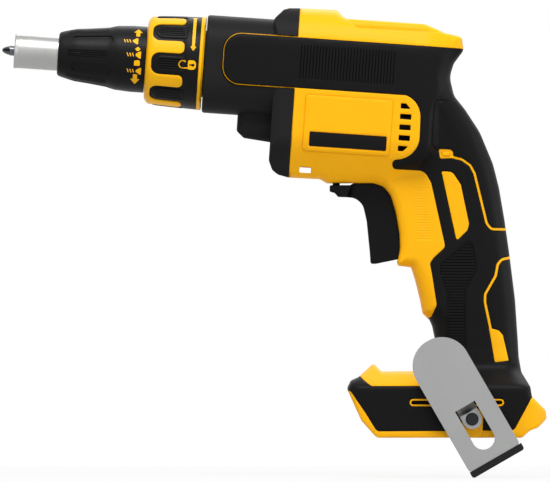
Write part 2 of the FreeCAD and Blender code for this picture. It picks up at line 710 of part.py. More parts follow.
def housing_pieces():
    """Both housing halves and their rubber."""
    outer = solid_form(0.0)
    cavity = solid_form(WALL)
    under_rubber = solid_form(SKIN)
    region = grip_region()
    rubber_tool = region.cut(under_rubber)
    bosses = Part.makeCompound([cross_cylinder(BOSS_R, x, z, -THROUGH, THROUGH) for x, z in SCREW_POINTS])
    rim = tilted(side_prism(window_outline(WINDOW_RIM), -THROUGH, THROUGH))
    inner = [bosses.common(cavity), rim.common(cavity), stator_ribs(cavity), flange_bosses(cavity),
             seat_pads(SWITCH, cavity), seat_pads(CONTROLLER, cavity)]
    shell = outer.cut(cavity)
    shell = shell.multiFuse(inner)

    channel_half = CHANNEL_HALF_WIDTH
    cuts = [box(-THROUGH, CHANNEL_BACK, -channel_half, channel_half, CHANNEL_FLOOR, CHANNEL_CEILING),
            box(-THROUGH, CHANNEL_BACK, -RAIL_GAP_HALF, RAIL_GAP_HALF, -1, CHANNEL_FLOOR + 1),
            trigger_sweep(FREE_GAP),
            tilted(side_prism(window_outline(0.0), -THROUGH, THROUGH))]
    stem_from, stem_to = SELECTOR_STEM_X
    stem_half = SELECTOR_STEM_HALF + SELECTOR_TRAVEL + FREE_GAP
    cuts.append(box(stem_from - FREE_GAP, stem_to + FREE_GAP, -stem_half, stem_half, *SELECTOR_HOLE))
    for i in range(VENT_COUNT):
        w = MOTOR_W + (i - (VENT_COUNT - 1) / 2) * VENT_PITCH
        slot = box(VENT_FROM, VENT_TO, CASE_HALF_WIDTH - 8, THROUGH, w - VENT_HEIGHT / 2, w + VENT_HEIGHT / 2)
        cuts += [tilted(slot), tilted(mirrored(slot))]
    x_from, x_to, z_from, z_to = FOOT_SLOT
    end_r = ROUND_END * (z_to - z_from) / 2
    slot_side = ((x_from, z_from, end_r), (x_to, z_from, end_r), (x_to, z_to, end_r), (x_from, z_to, end_r))
    foot_slot = side_prism(slot_side, -THROUGH, -FOOT_HALF_WIDTH + FOOT_SLOT_DEPTH)
    hole_end = -FOOT_HALF_WIDTH + HOOK_HOLE_DEPTH
    hook_hole = cross_cylinder(HOOK_HOLE_R, HOOK_SCREW_X, HOOK_SCREW_Z, -THROUGH, hole_end)
    cuts += [foot_slot, mirrored(foot_slot), hook_hole, mirrored(hook_hole)]
    for y in (-BATTERY_WIRE_Y, BATTERY_WIRE_Y):
        cuts.append(Part.makeCylinder(WIRE_R + FREE_GAP, 20, V(BATTERY_WIRE_X, y, CHANNEL_CEILING - 1)))
    wire_room = WIRE_R + FREE_GAP
    way_low = MOTOR_WIRE_LIFT + MOTOR_WIRE_X[0] - wire_room
    way_high = MOTOR_WIRE_LIFT + MOTOR_WIRE_X[-1] + wire_room
    cuts.append(box(*MOTOR_WAY, MOTOR_WIRE_Y - wire_room, MOTOR_WIRE_Y + wire_room, way_low, way_high))
    screw_tip = SCREW_SEAT_Y - HOUSING_SCREW_LENGTH
    for x, z in SCREW_POINTS:
        cuts.append(cross_cylinder(HOUSING_SCREW_R + SEAT_FIT, x, z, screw_tip - SCREW_END_ROOM, THROUGH))
        cuts.append(cross_cylinder(HOUSING_HEAD_R + FACE_GAP, x, z, SCREW_SEAT_Y, THROUGH))
    screw_end = FLANGE_SEAT + FLANGE_SCREW_LENGTH + SCREW_END_ROOM
    for y in (-FLANGE_SCREW_Y, FLANGE_SCREW_Y):
        cuts.append(tilted(cylinder(SCREW_R + SEAT_FIT, CASE_LENGTH - 1, screw_end, FLANGE_SCREW_W, y)))
    shell = shell.cut(cuts).cut(rubber_tool)
    rubber = outer.common(rubber_tool).cut(cuts)
    left = box(-THROUGH * 3, THROUGH * 3, -THROUGH, 0, -1, THROUGH * 3)
    right = box(-THROUGH * 3, THROUGH * 3, 0, THROUGH, -1, THROUGH * 3)
    return {"housing_left": shell.common(left), "housing_right": shell.common(right),
            "grip_left": rubber.common(left), "grip_right": rubber.common(right)}


def bulge_form():
    """The rounded box under the gear case round the pinion."""
    half = BULGE_HALF_WIDTH
    rear = FLANGE_FRONT + 2
    section = ((-half, BULGE_TOP, 0), (half, BULGE_TOP, 0), (half, BULGE_LOW, BULGE_CORNER),
               (-half, BULGE_LOW, BULGE_CORNER))
    plan = ((BULGE_FRONT, -half, BULGE_NOSE), (rear, -half, 0), (rear, half, 0),
            (BULGE_FRONT, half, BULGE_NOSE))
    bulge = side_prism(BULGE_SIDE, -half, half)
    bulge = bulge.common(front_prism(section, BULGE_FRONT - 1, rear + 1))
    return bulge.common(plan_prism(plan, -THROUGH, THROUGH))


def flange_form():
    """The plate that closes the barrel's front, rounded towards the case in plan."""
    front = min(u for u, w, r in FLANGE_SIDE)
    half = BARREL_HALF_WIDTH
    rear = CASE_LENGTH + FLANGE_CORNER
    plan = ((front, -half, FLANGE_CORNER), (rear, -half, 0), (rear, half, 0), (front, half, FLANGE_CORNER))
    flange = side_prism(FLANGE_SIDE, -half, half)
    flange = flange.common(front_prism(barrel_front_outline(), front - 1, CASE_LENGTH + 1))
    return flange.common(plan_prism(plan, -THROUGH, THROUGH))


def gear_case():
    half = CASE_HALF_WIDTH
    high = CASE_HALF_HEIGHT
    section = ((-half, -high, CASE_CORNER), (half, -high, CASE_CORNER), (half, high, CASE_CORNER),
               (-half, high, CASE_CORNER))
    body = front_prism(section, -CASE_RIM, FLANGE_FRONT + 2)
    front_edges = [e for e in body.Edges if e.BoundBox.XMax < -CASE_RIM + 1e-6]
    body = body.makeFillet(CASE_EDGE, front_edges)
    case = fused([body, bulge_form(), flange_form(), cylinder(SPIGOT_R, -SPIGOT_LENGTH, 1)])

    arm_room = side_prism(arm_outline(BAND_EDGE + FACE_GAP), BARREL_HALF_WIDTH - WALL - FACE_GAP, THROUGH)
    pocket_half = FLANGE_SCREW_Y - FLANGE_BOSS_R - 1
    pocket_low = BARREL_SIDE[0][1] + WALL
    light_end = BULGE_FRONT + LIGHT_DEPTH + LIGHT_BOARD_THICK
    cuts = [
        tube(SLEEVE_R + FREE_GAP, SPIGOT_R, -CASE_RIM - 1, SLEEVE_REAR + FREE_GAP),
        cylinder(CASE_INNER_R, CASE_FRONT_WALL, CASE_LENGTH + 1),
        cylinder(PINION_TIP_R + PINION_ROOM, PINION_FRONT - 2, CASE_LENGTH + 1, MOTOR_W),
        cylinder(PINION_BEARING[1] + SEAT_FIT, SHAFT_FRONT - FACE_GAP, PINION_FRONT, MOTOR_W),
        cylinder(BUSH[1] + SEAT_FIT, -SPIGOT_LENGTH - 1, BUSH_REAR),
        cylinder(SPINDLE_R + 1, BUSH_REAR - 1, CASE_FRONT_WALL + 1),
        box(FLANGE_SEAT, CASE_LENGTH + 1, -pocket_half, pocket_half, pocket_low, BULGE_LOW + WALL),
        arm_room, mirrored(arm_room),
        cylinder(LIGHT_R + SEAT_FIT, BULGE_FRONT - 1, light_end, LIGHT_W)]
    head_room = FLANGE_FRONT - SCREW_HEAD_H
    for y in (-FLANGE_SCREW_Y, FLANGE_SCREW_Y):
        cuts.append(cylinder(SCREW_R + SEAT_FIT, head_room, CASE_LENGTH + 1, FLANGE_SCREW_W, y))
        cuts.append(cylinder(SCREW_HEAD_R + FACE_GAP, head_room, FLANGE_SEAT, FLANGE_SCREW_W, y))
    plate_screw_tip = PLATE_REAR - PLATE_SCREW_LENGTH - SCREW_END_ROOM
    for y, w in plate_screw_points():
        cuts.append(cylinder(SCREW_R + SEAT_FIT, plate_screw_tip, CASE_LENGTH + 1, w, y))
    return case.cut(cuts)


def plate_screw_points():
    return [polar(PLATE_SCREW_R, angle) for angle in PLATE_SCREW_ANGLES]


def screw(u_seat, length, w, y, head_forward):
    """A pan head screw along the barrel, its head in front of its seat or behind it."""
    if head_forward:
        head = cylinder(SCREW_HEAD_R, u_seat - SCREW_HEAD_H, u_seat, w, y)
        socket = hexagon(SCREW_HEAD_R, u_seat - SCREW_HEAD_H - 1, u_seat - SCREW_HEAD_H / 2)
        shank = cylinder(SCREW_R, u_seat, u_seat + length, w, y)
    else:
        head = cylinder(SCREW_HEAD_R, u_seat, u_seat + SCREW_HEAD_H, w, y)
        socket = hexagon(SCREW_HEAD_R, u_seat + SCREW_HEAD_H / 2, u_seat + SCREW_HEAD_H + 1)
        shank = cylinder(SCREW_R, u_seat - length, u_seat, w, y)
    socket.translate(V(0, y, w))
    return head.cut(socket).fuse(shank).removeSplitter()


def gear_case_screws():
    return Part.makeCompound([screw(FLANGE_SEAT, FLANGE_SCREW_LENGTH, FLANGE_SCREW_W, y, True)
                              for y in (-FLANGE_SCREW_Y, FLANGE_SCREW_Y)])


def bearing_plate():
    plate = box(CASE_LENGTH, PLATE_REAR, -THROUGH, THROUGH, PLATE_LOW, THROUGH)
    plate = plate.common(barrel_form(WALL + FACE_GAP))
    cuts = [
        cylinder(REAR_SPINDLE_BEARING[0] + 1, CASE_LENGTH - 1, PLATE_REAR),
        cylinder(REAR_SPINDLE_BEARING[1] + SEAT_FIT, SPINDLE_BEARING_FRONT, PLATE_REAR + 1),
        cylinder(SHAFT_R + 1, CASE_LENGTH - 1, PLATE_REAR, MOTOR_W),
        cylinder(MOTOR_FRONT_BEARING[1] + SEAT_FIT, MOTOR_BEARING_FRONT, PLATE_REAR + 1, MOTOR_W)]
    for y, w in plate_screw_points():
        cuts.append(cylinder(SCREW_R + SEAT_FIT, CASE_LENGTH - 1, PLATE_REAR + 1, w, y))
    return plate.cut(cuts)


def bearing_plate_screws():
    return Part.makeCompound([screw(PLATE_REAR, PLATE_SCREW_LENGTH, w, y, False)
                              for y, w in plate_screw_points()])


def spindle():
    shaft = fused([
        cylinder(SPINDLE_R, SPINDLE_FRONT, SPINDLE_STEP),
        cylinder(SPINDLE_MID_R, SPINDLE_STEP, SPINDLE_SHOULDER),
        cylinder(REAR_SPINDLE_BEARING[0], SPINDLE_SHOULDER, JOURNAL_END)])
    return shaft.cut(hexagon(HEX_FLATS + HEX_FIT, SPINDLE_FRONT - 1, SPINDLE_FRONT + HOLDER_SHANK + 1))


def dogs(u_from, u_to, first_angle):
    step = 360 / DOG_COUNT
    return [sector(DOG_INNER_R, DOG_OUTER_R, first_angle + i * step, DOG_HALF_ANGLE, u_from, u_to)
            for i in range(DOG_COUNT)]


def clutch_plate():
    disc = tube(CLUTCH_R, SPINDLE_MID_R + SEAT_FIT, CLUTCH_FRONT, CLUTCH_REAR)
    return fused([disc] + dogs(CLUTCH_REAR - 1, CLUTCH_DOG_TIP, 180 / DOG_COUNT))


def drive_gear():
    wheel = gear_wheel(GEAR_TEETH, GEAR_FRONT, GEAR_REAR, -90)
    wheel = wheel.cut(cylinder(SPINDLE_MID_R + RUN_FIT, GEAR_FRONT - 1, GEAR_REAR + 1))
    return fused([wheel] + dogs(GEAR_FRONT - GEAR_DOG, GEAR_FRONT + 1, 0))


def pinion():
    wheel = gear_wheel(PINION_TEETH, PINION_FRONT, PINION_REAR, 90 + 180 / PINION_TEETH)
    wheel.translate(V(0, 0, MOTOR_W))
    return wheel.cut(cylinder(SHAFT_R + SEAT_FIT, PINION_FRONT - 1, PINION_REAR + 1, MOTOR_W))


def spring_washer():
    start = CLUTCH_REAR + FACE_GAP
    return tube(SPRING_WASHER_R, SPINDLE_MID_R + FREE_GAP, start, start + SPRING_WASHER_THICK)


def clutch_spring():
    start = CLUTCH_REAR + 2 * FACE_GAP + SPRING_WASHER_THICK
    return tube(SPRING_R, SPRING_R - SPRING_WIRE, start, GEAR_FRONT - FACE_GAP)


def bit_holder():
    shank_end = SPINDLE_FRONT + HOLDER_SHANK
    body = cylinder(HOLDER_R, HOLDER_FRONT, SPINDLE_FRONT - FACE_GAP)
    body = body.fuse(hexagon(HEX_FLATS, SPINDLE_FRONT - 1, shank_end))
    bit_end = BIT_TIP + BIT_LENGTH
    return body.cut(hexagon(HEX_FLATS + HEX_FIT, HOLDER_FRONT - 1, bit_end + FACE_GAP)).removeSplitter()


def driver_bit():
    """A cross-point insert bit: hexagon, neck and a cone with four flutes."""
    cone_rear = BIT_TIP + BIT_CONE
    neck_rear = cone_rear + BIT_NECK_LENGTH
    end = BIT_TIP + BIT_LENGTH
    body = revolved(((BIT_TIP, 0), (BIT_TIP, BIT_POINT_R), (BIT_TIP + BIT_SHOULDER[0], BIT_SHOULDER[1]),
                     (cone_rear, BIT_NECK_R), (neck_rear, BIT_NECK_R), (neck_rear, 0)))
    body = body.fuse(hexagon(HEX_FLATS, neck_rear, end))
    flutes = []
    for i in range(4):
        flute = box(BIT_TIP - 1, cone_rear + 1, 0, BIT_NECK_R, 0, BIT_NECK_R)
        flute.translate(V(0, BIT_POINT_R * FLUTE_SHARE, BIT_POINT_R * FLUTE_SHARE))
        flute.rotate(V(cone_rear, 0, 0), V(0, 1, -1), -FLUTE_LEAN)
        flute.rotate(V(0, 0, 0), V(1, 0, 0), 45 + 90 * i)
        flutes.append(flute)
    return body.cut(flutes).removeSplitter()


def nose_sleeve():
    bore = SPIGOT_R + SLIDE_FIT
    return revolved((
        (SLEEVE_REAR, bore), (SLEEVE_REAR, SLEEVE_R), (SLEEVE_SHOULDER - SLEEVE_WALL / 2, SLEEVE_R),
        (SLEEVE_SHOULDER - SLEEVE_WALL / 2, SLEEVE_MID_R), (SLEEVE_MID_FRONT, SLEEVE_MID_R),
        (SLEEVE_MID_FRONT, SLEEVE_TIP_R), (SLEEVE_TIP_FRONT, SLEEVE_TIP_R),
        (SLEEVE_TIP_FRONT, SLEEVE_TIP_BORE),
        (SLEEVE_MID_FRONT + SLEEVE_WALL, SLEEVE_TIP_BORE), (SLEEVE_MID_FRONT + SLEEVE_WALL, SLEEVE_MID_BORE),
        (-SPIGOT_LENGTH - FREE_GAP, SLEEVE_MID_BORE), (-SPIGOT_LENGTH - FREE_GAP, bore)))


def depth_locator():
    counterbore_end = SLEEVE_TIP_FRONT - LOCATOR_TRAVEL - FREE_GAP
    flange_front = LOCATOR_REAR - LOCATOR_FLANGE
    counterbore = SLEEVE_TIP_R + SLIDE_FIT
    chamfer_end = LOCATOR_FRONT + LOCATOR_CHAMFER
    return revolved((
        (LOCATOR_FRONT, LOCATOR_BORE + LOCATOR_CHAMFER), (LOCATOR_FRONT, LOCATOR_RIM_R - LOCATOR_CHAMFER),
        (chamfer_end, LOCATOR_RIM_R), (LOCATOR_FRONT + LOCATOR_RIM, LOCATOR_R), (flange_front, LOCATOR_R),
        (flange_front, LOCATOR_FLANGE_R), (LOCATOR_REAR, LOCATOR_FLANGE_R), (LOCATOR_REAR, counterbore),
        (counterbore_end, counterbore), (counterbore_end, LOCATOR_BORE), (chamfer_end, LOCATOR_BORE)))


def nose_cone():
    inner = LOCATOR_FLANGE_R + SLIDE_FIT
    rear_bore = SLEEVE_MID_R + SLIDE_FIT
    step = SLEEVE_MID_FRONT - FREE_GAP
    outer = [(CONE_FRONT + du, r) for du, r in CONE_PROFILE]
    body = revolved(outer + [
        (CONE_REAR, outer[-1][1]), (CONE_REAR, rear_bore), (step, rear_bore), (step, inner),
        (CONE_FRONT + CONE_FRONT_WALL, inner), (CONE_FRONT + CONE_FRONT_WALL, LOCATOR_R + SLIDE_FIT),
        (CONE_FRONT, LOCATOR_R + SLIDE_FIT)])
    sunk = [(CONE_FRONT + du, r - CONE_CHANNEL_DEPTH) for du, r in CONE_PROFILE]
    room = revolved(sunk + [(sunk[-1][0], THROUGH), (CONE_FRONT, THROUGH)])
    channels = []
    for i in range(CONE_PADS):
        middle = CONE_CHANNEL_FIRST + 360 / CONE_PADS * i
        block = sector(LOCATOR_R, THROUGH, middle, CONE_CHANNEL_HALF_ANGLE, CONE_FRONT + CONE_CHANNEL_START,
                       CONE_FRONT + CONE_CHANNEL_END)
        channels.append(block.common(room))
    return body.cut(channels)


def collar_outer():
    return [(COLLAR_FRONT + du, r) for du, r in COLLAR_PROFILE]


def collar_fingers(gap):
    step = 360 / COLLAR_FINGERS
    return [sector(COLLAR_CORE_R - 1, THROUGH, COLLAR_FINGER_FIRST + i * step,
                   COLLAR_FINGER_HALF_ANGLE + gap, COLLAR_FRONT + COLLAR_FRONT_RING - 1,
                   COLLAR_FRONT + COLLAR_FINGER_END + gap) for i in range(COLLAR_FINGERS)]


def collar_core():
    bore = SLEEVE_R + SLIDE_FIT
    full = revolved(collar_outer() + [(COLLAR_REAR, bore), (COLLAR_FRONT, bore)])
    keep = [cylinder(COLLAR_CORE_R, COLLAR_FRONT - 1, COLLAR_REAR + 1),
            cylinder(THROUGH, COLLAR_FRONT - 1, COLLAR_FRONT + COLLAR_FRONT_RING),
            cylinder(THROUGH, COLLAR_REAR - COLLAR_REAR_RING, COLLAR_REAR + 1)]
    return full.common(fused(keep + collar_fingers(0.0)))


def collar_grip():
    inner = COLLAR_CORE_R + SEAT_FIT
    full = revolved(collar_outer() + [(COLLAR_REAR, inner), (COLLAR_FRONT, SLEEVE_R)])
    front = COLLAR_FRONT + COLLAR_FRONT_RING + SEAT_FIT
    rear = COLLAR_REAR - COLLAR_REAR_RING - SEAT_FIT
    return full.common(tube(THROUGH, inner, front, rear)).cut(collar_fingers(COLLAR_GRIP_GAP))


def stator_core():
    core = tube(STATOR_R, STATOR_BORE, STATOR_FRONT, STATOR_REAR)
    slots = stator_slots(0.0, STATOR_FRONT - 1, STATOR_REAR + 1)
    core = core.cut(slots)
    core.translate(V(0, 0, MOTOR_W))
    return core


def stator_slots(gap, u_from, u_to):
    step = 360 / STATOR_SLOTS
    inner = WINDING_INNER_R + gap
    outer = WINDING_OUTER_R - gap
    return [sector(inner, outer, (i + 0.5) * step, step / 4 - gap, u_from, u_to) for i in range(STATOR_SLOTS)]


def stator_windings():
    front = STATOR_FRONT - WINDING_OVERHANG
    rear = STATOR_REAR + WINDING_OVERHANG
    rings = [tube(WINDING_OUTER_R - FACE_GAP, WINDING_INNER_R + FACE_GAP, front, STATOR_FRONT - SEAT_FIT),
             tube(WINDING_OUTER_R - FACE_GAP, WINDING_INNER_R + FACE_GAP, STATOR_REAR + SEAT_FIT, rear)]
    coil = fused(rings + stator_slots(FACE_GAP, front + 1, rear - 1))
    coil.translate(V(0, 0, MOTOR_W))
    return coil


def rotor_core():
    front = STATOR_FRONT - ROTOR_OVERHANG
    rear = STATOR_REAR + ROTOR_OVERHANG
    return tube(ROTOR_R, SHAFT_R + SEAT_FIT, front, rear, MOTOR_W)


def cooling_fan():
    bore = SHAFT_R + SEAT_FIT
    half = FAN_BLADE_HALF
    pieces = [cylinder(FAN_HUB_R, FAN_FRONT, FAN_REAR), cylinder(FAN_R, FAN_FRONT, FAN_FRONT + FAN_DISC)]
    for i in range(FAN_BLADES):
        blade = box(FAN_FRONT + FAN_DISC / 2, FAN_REAR, -half, half, FAN_HUB_R - 1, FAN_R - FREE_GAP)
        blade.rotate(V(0, 0, 0), V(1, 0, 0), 360 / FAN_BLADES * i)
        pieces.append(blade)
    fan = fused(pieces).cut(cylinder(bore, FAN_FRONT - 1, FAN_REAR + 1))
    fan.translate(V(0, 0, MOTOR_W))
    return fan


def motor_board():
    disc = cylinder(BOARD_R, BOARD_FRONT, BOARD_FRONT + BOARD_THICK, MOTOR_W)
    tab = box(BOARD_FRONT, BOARD_FRONT + BOARD_THICK, -BOARD_TAB_HALF_WIDTH, BOARD_TAB_HALF_WIDTH,
              MOTOR_W - BOARD_TAB_DROP, MOTOR_W)
    board = fused([disc, tab]).common(barrel_form(WALL + FACE_GAP))
    return board.cut(cylinder(FAN_HUB_R, BOARD_FRONT - 1, BOARD_FRONT + BOARD_THICK + 1, MOTOR_W))


def rear_bearing_holder():
    start = REAR_BEARING_FRONT - 1
    bar = box(start, start + HOLDER_BAR_THICK, -THROUGH, THROUGH,
              MOTOR_W - HOLDER_BAR_HALF_HEIGHT, MOTOR_W + HOLDER_BAR_HALF_HEIGHT)
    bar = bar.common(barrel_form(WALL + FACE_GAP))
    seat = cylinder(MOTOR_REAR_BEARING[1] + SEAT_FIT, REAR_BEARING_FRONT - 2,
                    REAR_BEARING_FRONT + MOTOR_REAR_BEARING[2], MOTOR_W)
    return bar.cut([seat, cylinder(SHAFT_R + 1, start - 1, start + HOLDER_BAR_THICK + 1, MOTOR_W)])


def trigger():
    body = side_prism(TRIGGER_SIDE, -TRIGGER_HALF_WIDTH, TRIGGER_HALF_WIDTH)
    front = min(x for x, z, r in TRIGGER_SIDE)
    nose = TRIGGER_HALF_WIDTH * TRIGGER_NOSE_SHARE
    plan = ((front, -TRIGGER_HALF_WIDTH, nose), (0, -TRIGGER_HALF_WIDTH, 0), (0, TRIGGER_HALF_WIDTH, 0),
            (front, TRIGGER_HALF_WIDTH, nose))
    body = body.common(plan_prism(plan, -THROUGH, 2 * THROUGH))
    plunger = Part.makeCylinder(PLUNGER_R, SWITCH[0] + PLUNGER_REACH - PLUNGER_START_X,
                                V(PLUNGER_START_X, 0, TRIGGER_LINE_Z), V(1, 0, 0))
    return fused([body, plunger])


def trigger_spring():
    start = max(x for x, z, r in TRIGGER_SIDE) + FREE_GAP
    length = SWITCH[0] - FACE_GAP - start
    place = V(start, 0, TRIGGER_LINE_Z)
    outer = Part.makeCylinder(TRIGGER_SPRING_R, length, place, V(1, 0, 0))
    return outer.cut(Part.makeCylinder(PLUNGER_R + FREE_GAP, length, place, V(1, 0, 0)))


def direction_selector():
    bar = side_prism(SELECTOR_SIDE, -SELECTOR_HALF_LENGTH, SELECTOR_HALF_LENGTH)
    stem_from, stem_to = SELECTOR_STEM_X
    top = SELECTOR_SIDE[0][1]
    plate_low = top + SELECTOR_PLATE_LIFT
    stem = box(stem_from, stem_to, -SELECTOR_STEM_HALF, SELECTOR_STEM_HALF, top - 1, plate_low + 1)
    plate_high = plate_low + SELECTOR_PLATE_THICK
    plate = box(stem_from, stem_to, -SELECTOR_PLATE_HALF, SELECTOR_PLATE_HALF, plate_low, plate_high)
    return fused([bar, stem, plate])


def block_outline(block, corner):
    x_from, x_to, z_from, z_to, half = block
    return ((x_from, z_from, corner), (x_to, z_from, corner), (x_to, z_to, corner), (x_from, z_to, corner))


def switch_body():
    half = SWITCH[4]
    body = side_prism(block_outline(SWITCH, BLOCK_CORNER), -half, half)
    depth = PLUNGER_REACH + TRIGGER_TRAVEL + 1
    hole = Part.makeCylinder(PLUNGER_R + FREE_GAP, depth + 1, V(SWITCH[0] - 1, 0, TRIGGER_LINE_Z), V(1, 0, 0))
    return body.cut(hole)


def controller_module():
    half = CONTROLLER[4]
    return side_prism(block_outline(CONTROLLER, BLOCK_CORNER), -half, half)


def terminal_block():
    x_from, z_from, half = TERMINAL
    back = CHANNEL_BACK - FACE_GAP
    upper = box(x_from, back, -half, half, z_from + TERMINAL_STEP, CHANNEL_CEILING)
    narrow = half - TERMINAL_STEP
    lower = box(x_from + 2 * TERMINAL_STEP, back, -narrow, narrow, z_from, CHANNEL_CEILING - 1)
    return fused([upper, lower])


def battery_contacts():
    x_from, z_from, half = TERMINAL
    top = CHANNEL_CEILING - CONTACT_DROP
    blades = []
    for i in range(CONTACT_COUNT):
        y = (i - (CONTACT_COUNT - 1) / 2) * CONTACT_PITCH
        blades.append(box(x_from - CONTACT_LENGTH, x_from, y - CONTACT_THICK / 2, y + CONTACT_THICK / 2,
                          top - CONTACT_HEIGHT, top))
    return Part.makeCompound(blades)


def battery_leads():
    length = CONTROLLER[2] - CHANNEL_CEILING
    return Part.makeCompound([Part.makeCylinder(WIRE_R, length, V(BATTERY_WIRE_X, y, CHANNEL_CEILING))
                              for y in (-BATTERY_WIRE_Y, BATTERY_WIRE_Y)])


def motor_leads():
    """Three wires up from the controller, round one bend each and forward to the motor board."""
    tilt = math.radians(BARREL_TILT)
    wires = []
    for x in MOTOR_WIRE_X:
        z = MOTOR_WIRE_LIFT + x
        board_u = BOARD_FRONT + BOARD_THICK + SLIDE_FIT
        x_end = CASE_FRONT_X + (board_u + (z - CASE_FRONT_Z) * math.sin(tilt)) / math.cos(tilt)
        bend = MOTOR_WIRE_BEND
        start = V(x, MOTOR_WIRE_Y, CONTROLLER[3])
        low = V(x, MOTOR_WIRE_Y, z - bend)
        middle = V(x - bend * (1 - math.sqrt(0.5)), MOTOR_WIRE_Y, z - bend * (1 - math.sqrt(0.5)))
        high = V(x - bend, MOTOR_WIRE_Y, z)
        end = V(x_end, MOTOR_WIRE_Y, z)
        path = Part.Wire([Part.LineSegment(start, low).toShape(), Part.Arc(low, middle, high).toShape(),
                          Part.LineSegment(high, end).toShape()])
        ring = Part.Wire(Part.Circle(start, V(0, 0, 1), WIRE_R).toShape())
        wires.append(path.makePipeShell([ring], True, False))
    return Part.makeCompound(wires)


def housing_screws():
    screws = []
    for x, z in SCREW_POINTS:
        head = cross_cylinder(HOUSING_HEAD_R, x, z, SCREW_SEAT_Y, SCREW_SEAT_Y + SCREW_HEAD_H)
        shank = cross_cylinder(HOUSING_SCREW_R, x, z, SCREW_SEAT_Y - HOUSING_SCREW_LENGTH, SCREW_SEAT_Y)
        screws.append(head.fuse(shank).removeSplitter())
    return Part.makeCompound(screws)


def hook_placed(shape):
    """A hook piece drawn upright about its screw, leaned over and put on the foot."""
    result = shape.copy()
    turn = FreeCAD.Rotation(V(0, 1, 0), -HOOK_LEAN)
    result.Placement = FreeCAD.Placement(V(HOOK_SCREW_X, 0, HOOK_SCREW_Z), turn).multiply(result.Placement)
    return result


HOOK_INNER_Y = -FOOT_HALF_WIDTH - HOOK_STANDOFF
HOOK_OUTER_Y = HOOK_INNER_Y - HOOK_THICK
TONGUE_OUTER_Y = -FOOT_HALF_WIDTH - HOOK_THICK


def round_ended(half, low, high):
    """The side-view outline of a strip with a full round lower end."""
    end_r = ROUND_END * half
    return ((-half, low, end_r), (half, low, end_r), (half, high, 0), (-half, high, 0))


def belt_hook():
    half = HOOK_HALF_WIDTH
    top_r = ROUND_END * half
    plate = side_prism(((-half, HOOK_BOTTOM, HOOK_CORNER), (half, HOOK_BOTTOM, HOOK_CORNER),
                        (half, HOOK_TOP, top_r), (-half, HOOK_TOP, top_r)), HOOK_OUTER_Y, HOOK_INNER_Y)
    slot = side_prism(round_ended(HOOK_SLOT_HALF, HOOK_SLOT_BOTTOM, HOOK_SLOT_TOP), HOOK_OUTER_Y - 1,
                      HOOK_INNER_Y + 1)
    flat_top = HOOK_HEAD_R + TONGUE_HEAD_ROOM
    strip = ((-FOOT_HALF_WIDTH, -TONGUE_HALF, 0), (-FOOT_HALF_WIDTH, flat_top + HOOK_THICK, HOOK_BEND),
             (HOOK_INNER_Y, HOOK_SLOT_TOP + HOOK_THICK, HOOK_BEND),
             (HOOK_INNER_Y, HOOK_SLOT_TOP + 2 * HOOK_THICK, 0),
             (HOOK_OUTER_Y, HOOK_SLOT_TOP + 2 * HOOK_THICK, 0), (HOOK_OUTER_Y, HOOK_SLOT_TOP, HOOK_BEND / 2),
             (TONGUE_OUTER_Y, flat_top, HOOK_BEND), (TONGUE_OUTER_Y, -TONGUE_HALF, 0))
    tongue = front_prism(strip, -TONGUE_HALF, TONGUE_HALF)
    tongue = tongue.common(side_prism(round_ended(TONGUE_HALF, -TONGUE_HALF, THROUGH), -THROUGH, 0))
    hook = fused([plate.cut(slot), tongue, hook_lip(0.0)])
    hole = Part.makeCylinder(HOOK_SCREW_R + FACE_GAP, THROUGH, V(0, -THROUGH, 0), V(0, 1, 0))
    return hook_placed(hook.cut(hole))


def hook_lip(gap):
    """The thinned lower edge of the hook plate that the guard is pushed over."""
    half = HOOK_HALF_WIDTH - LIP_INSET + gap
    return box(-half, half, HOOK_OUTER_Y + LIP_THIN - gap, HOOK_INNER_Y - LIP_THIN + gap,
               HOOK_BOTTOM - LIP_DEPTH + GUARD_THICK - gap, HOOK_BOTTOM + 1)


def hook_lip_guard():
    start = -HOOK_HALF_WIDTH
    end = HOOK_HALF_WIDTH + GUARD_OVERHANG
    low = HOOK_BOTTOM - LIP_DEPTH
    high = HOOK_BOTTOM - SEAT_FIT
    side = ((start, low, HOOK_CORNER), (end, low, HOOK_CORNER), (end, high, 0), (start, high, 0))
    guard = side_prism(side, HOOK_OUTER_Y - GUARD_THICK / 2, HOOK_INNER_Y + GUARD_THICK / 2)
    return hook_placed(guard.cut(hook_lip(SEAT_FIT)))


def hook_screw():
    head = cross_cylinder(HOOK_HEAD_R, 0, 0, TONGUE_OUTER_Y - HOOK_HEAD_H, TONGUE_OUTER_Y)
    head_edges = [e for e in head.Edges if e.BoundBox.YMax < TONGUE_OUTER_Y - HOOK_HEAD_H + 1e-6]
    head = head.makeFillet(HOOK_HEAD_H / 3, head_edges)
    shank_end = -FOOT_HALF_WIDTH + HOOK_HOLE_DEPTH - SCREW_END_ROOM
    shank = cross_cylinder(HOOK_SCREW_R, 0, 0, TONGUE_OUTER_Y, shank_end)
    return hook_placed(head.fuse(shank).removeSplitter())


def work_light_lens():
    return cylinder(LIGHT_R, BULGE_FRONT, BULGE_FRONT + LIGHT_DEPTH, LIGHT_W)


def work_light_board():
    start = BULGE_FRONT + LIGHT_DEPTH
    return cylinder(LIGHT_R, start, start + LIGHT_BOARD_THICK - SEAT_FIT, LIGHT_W)


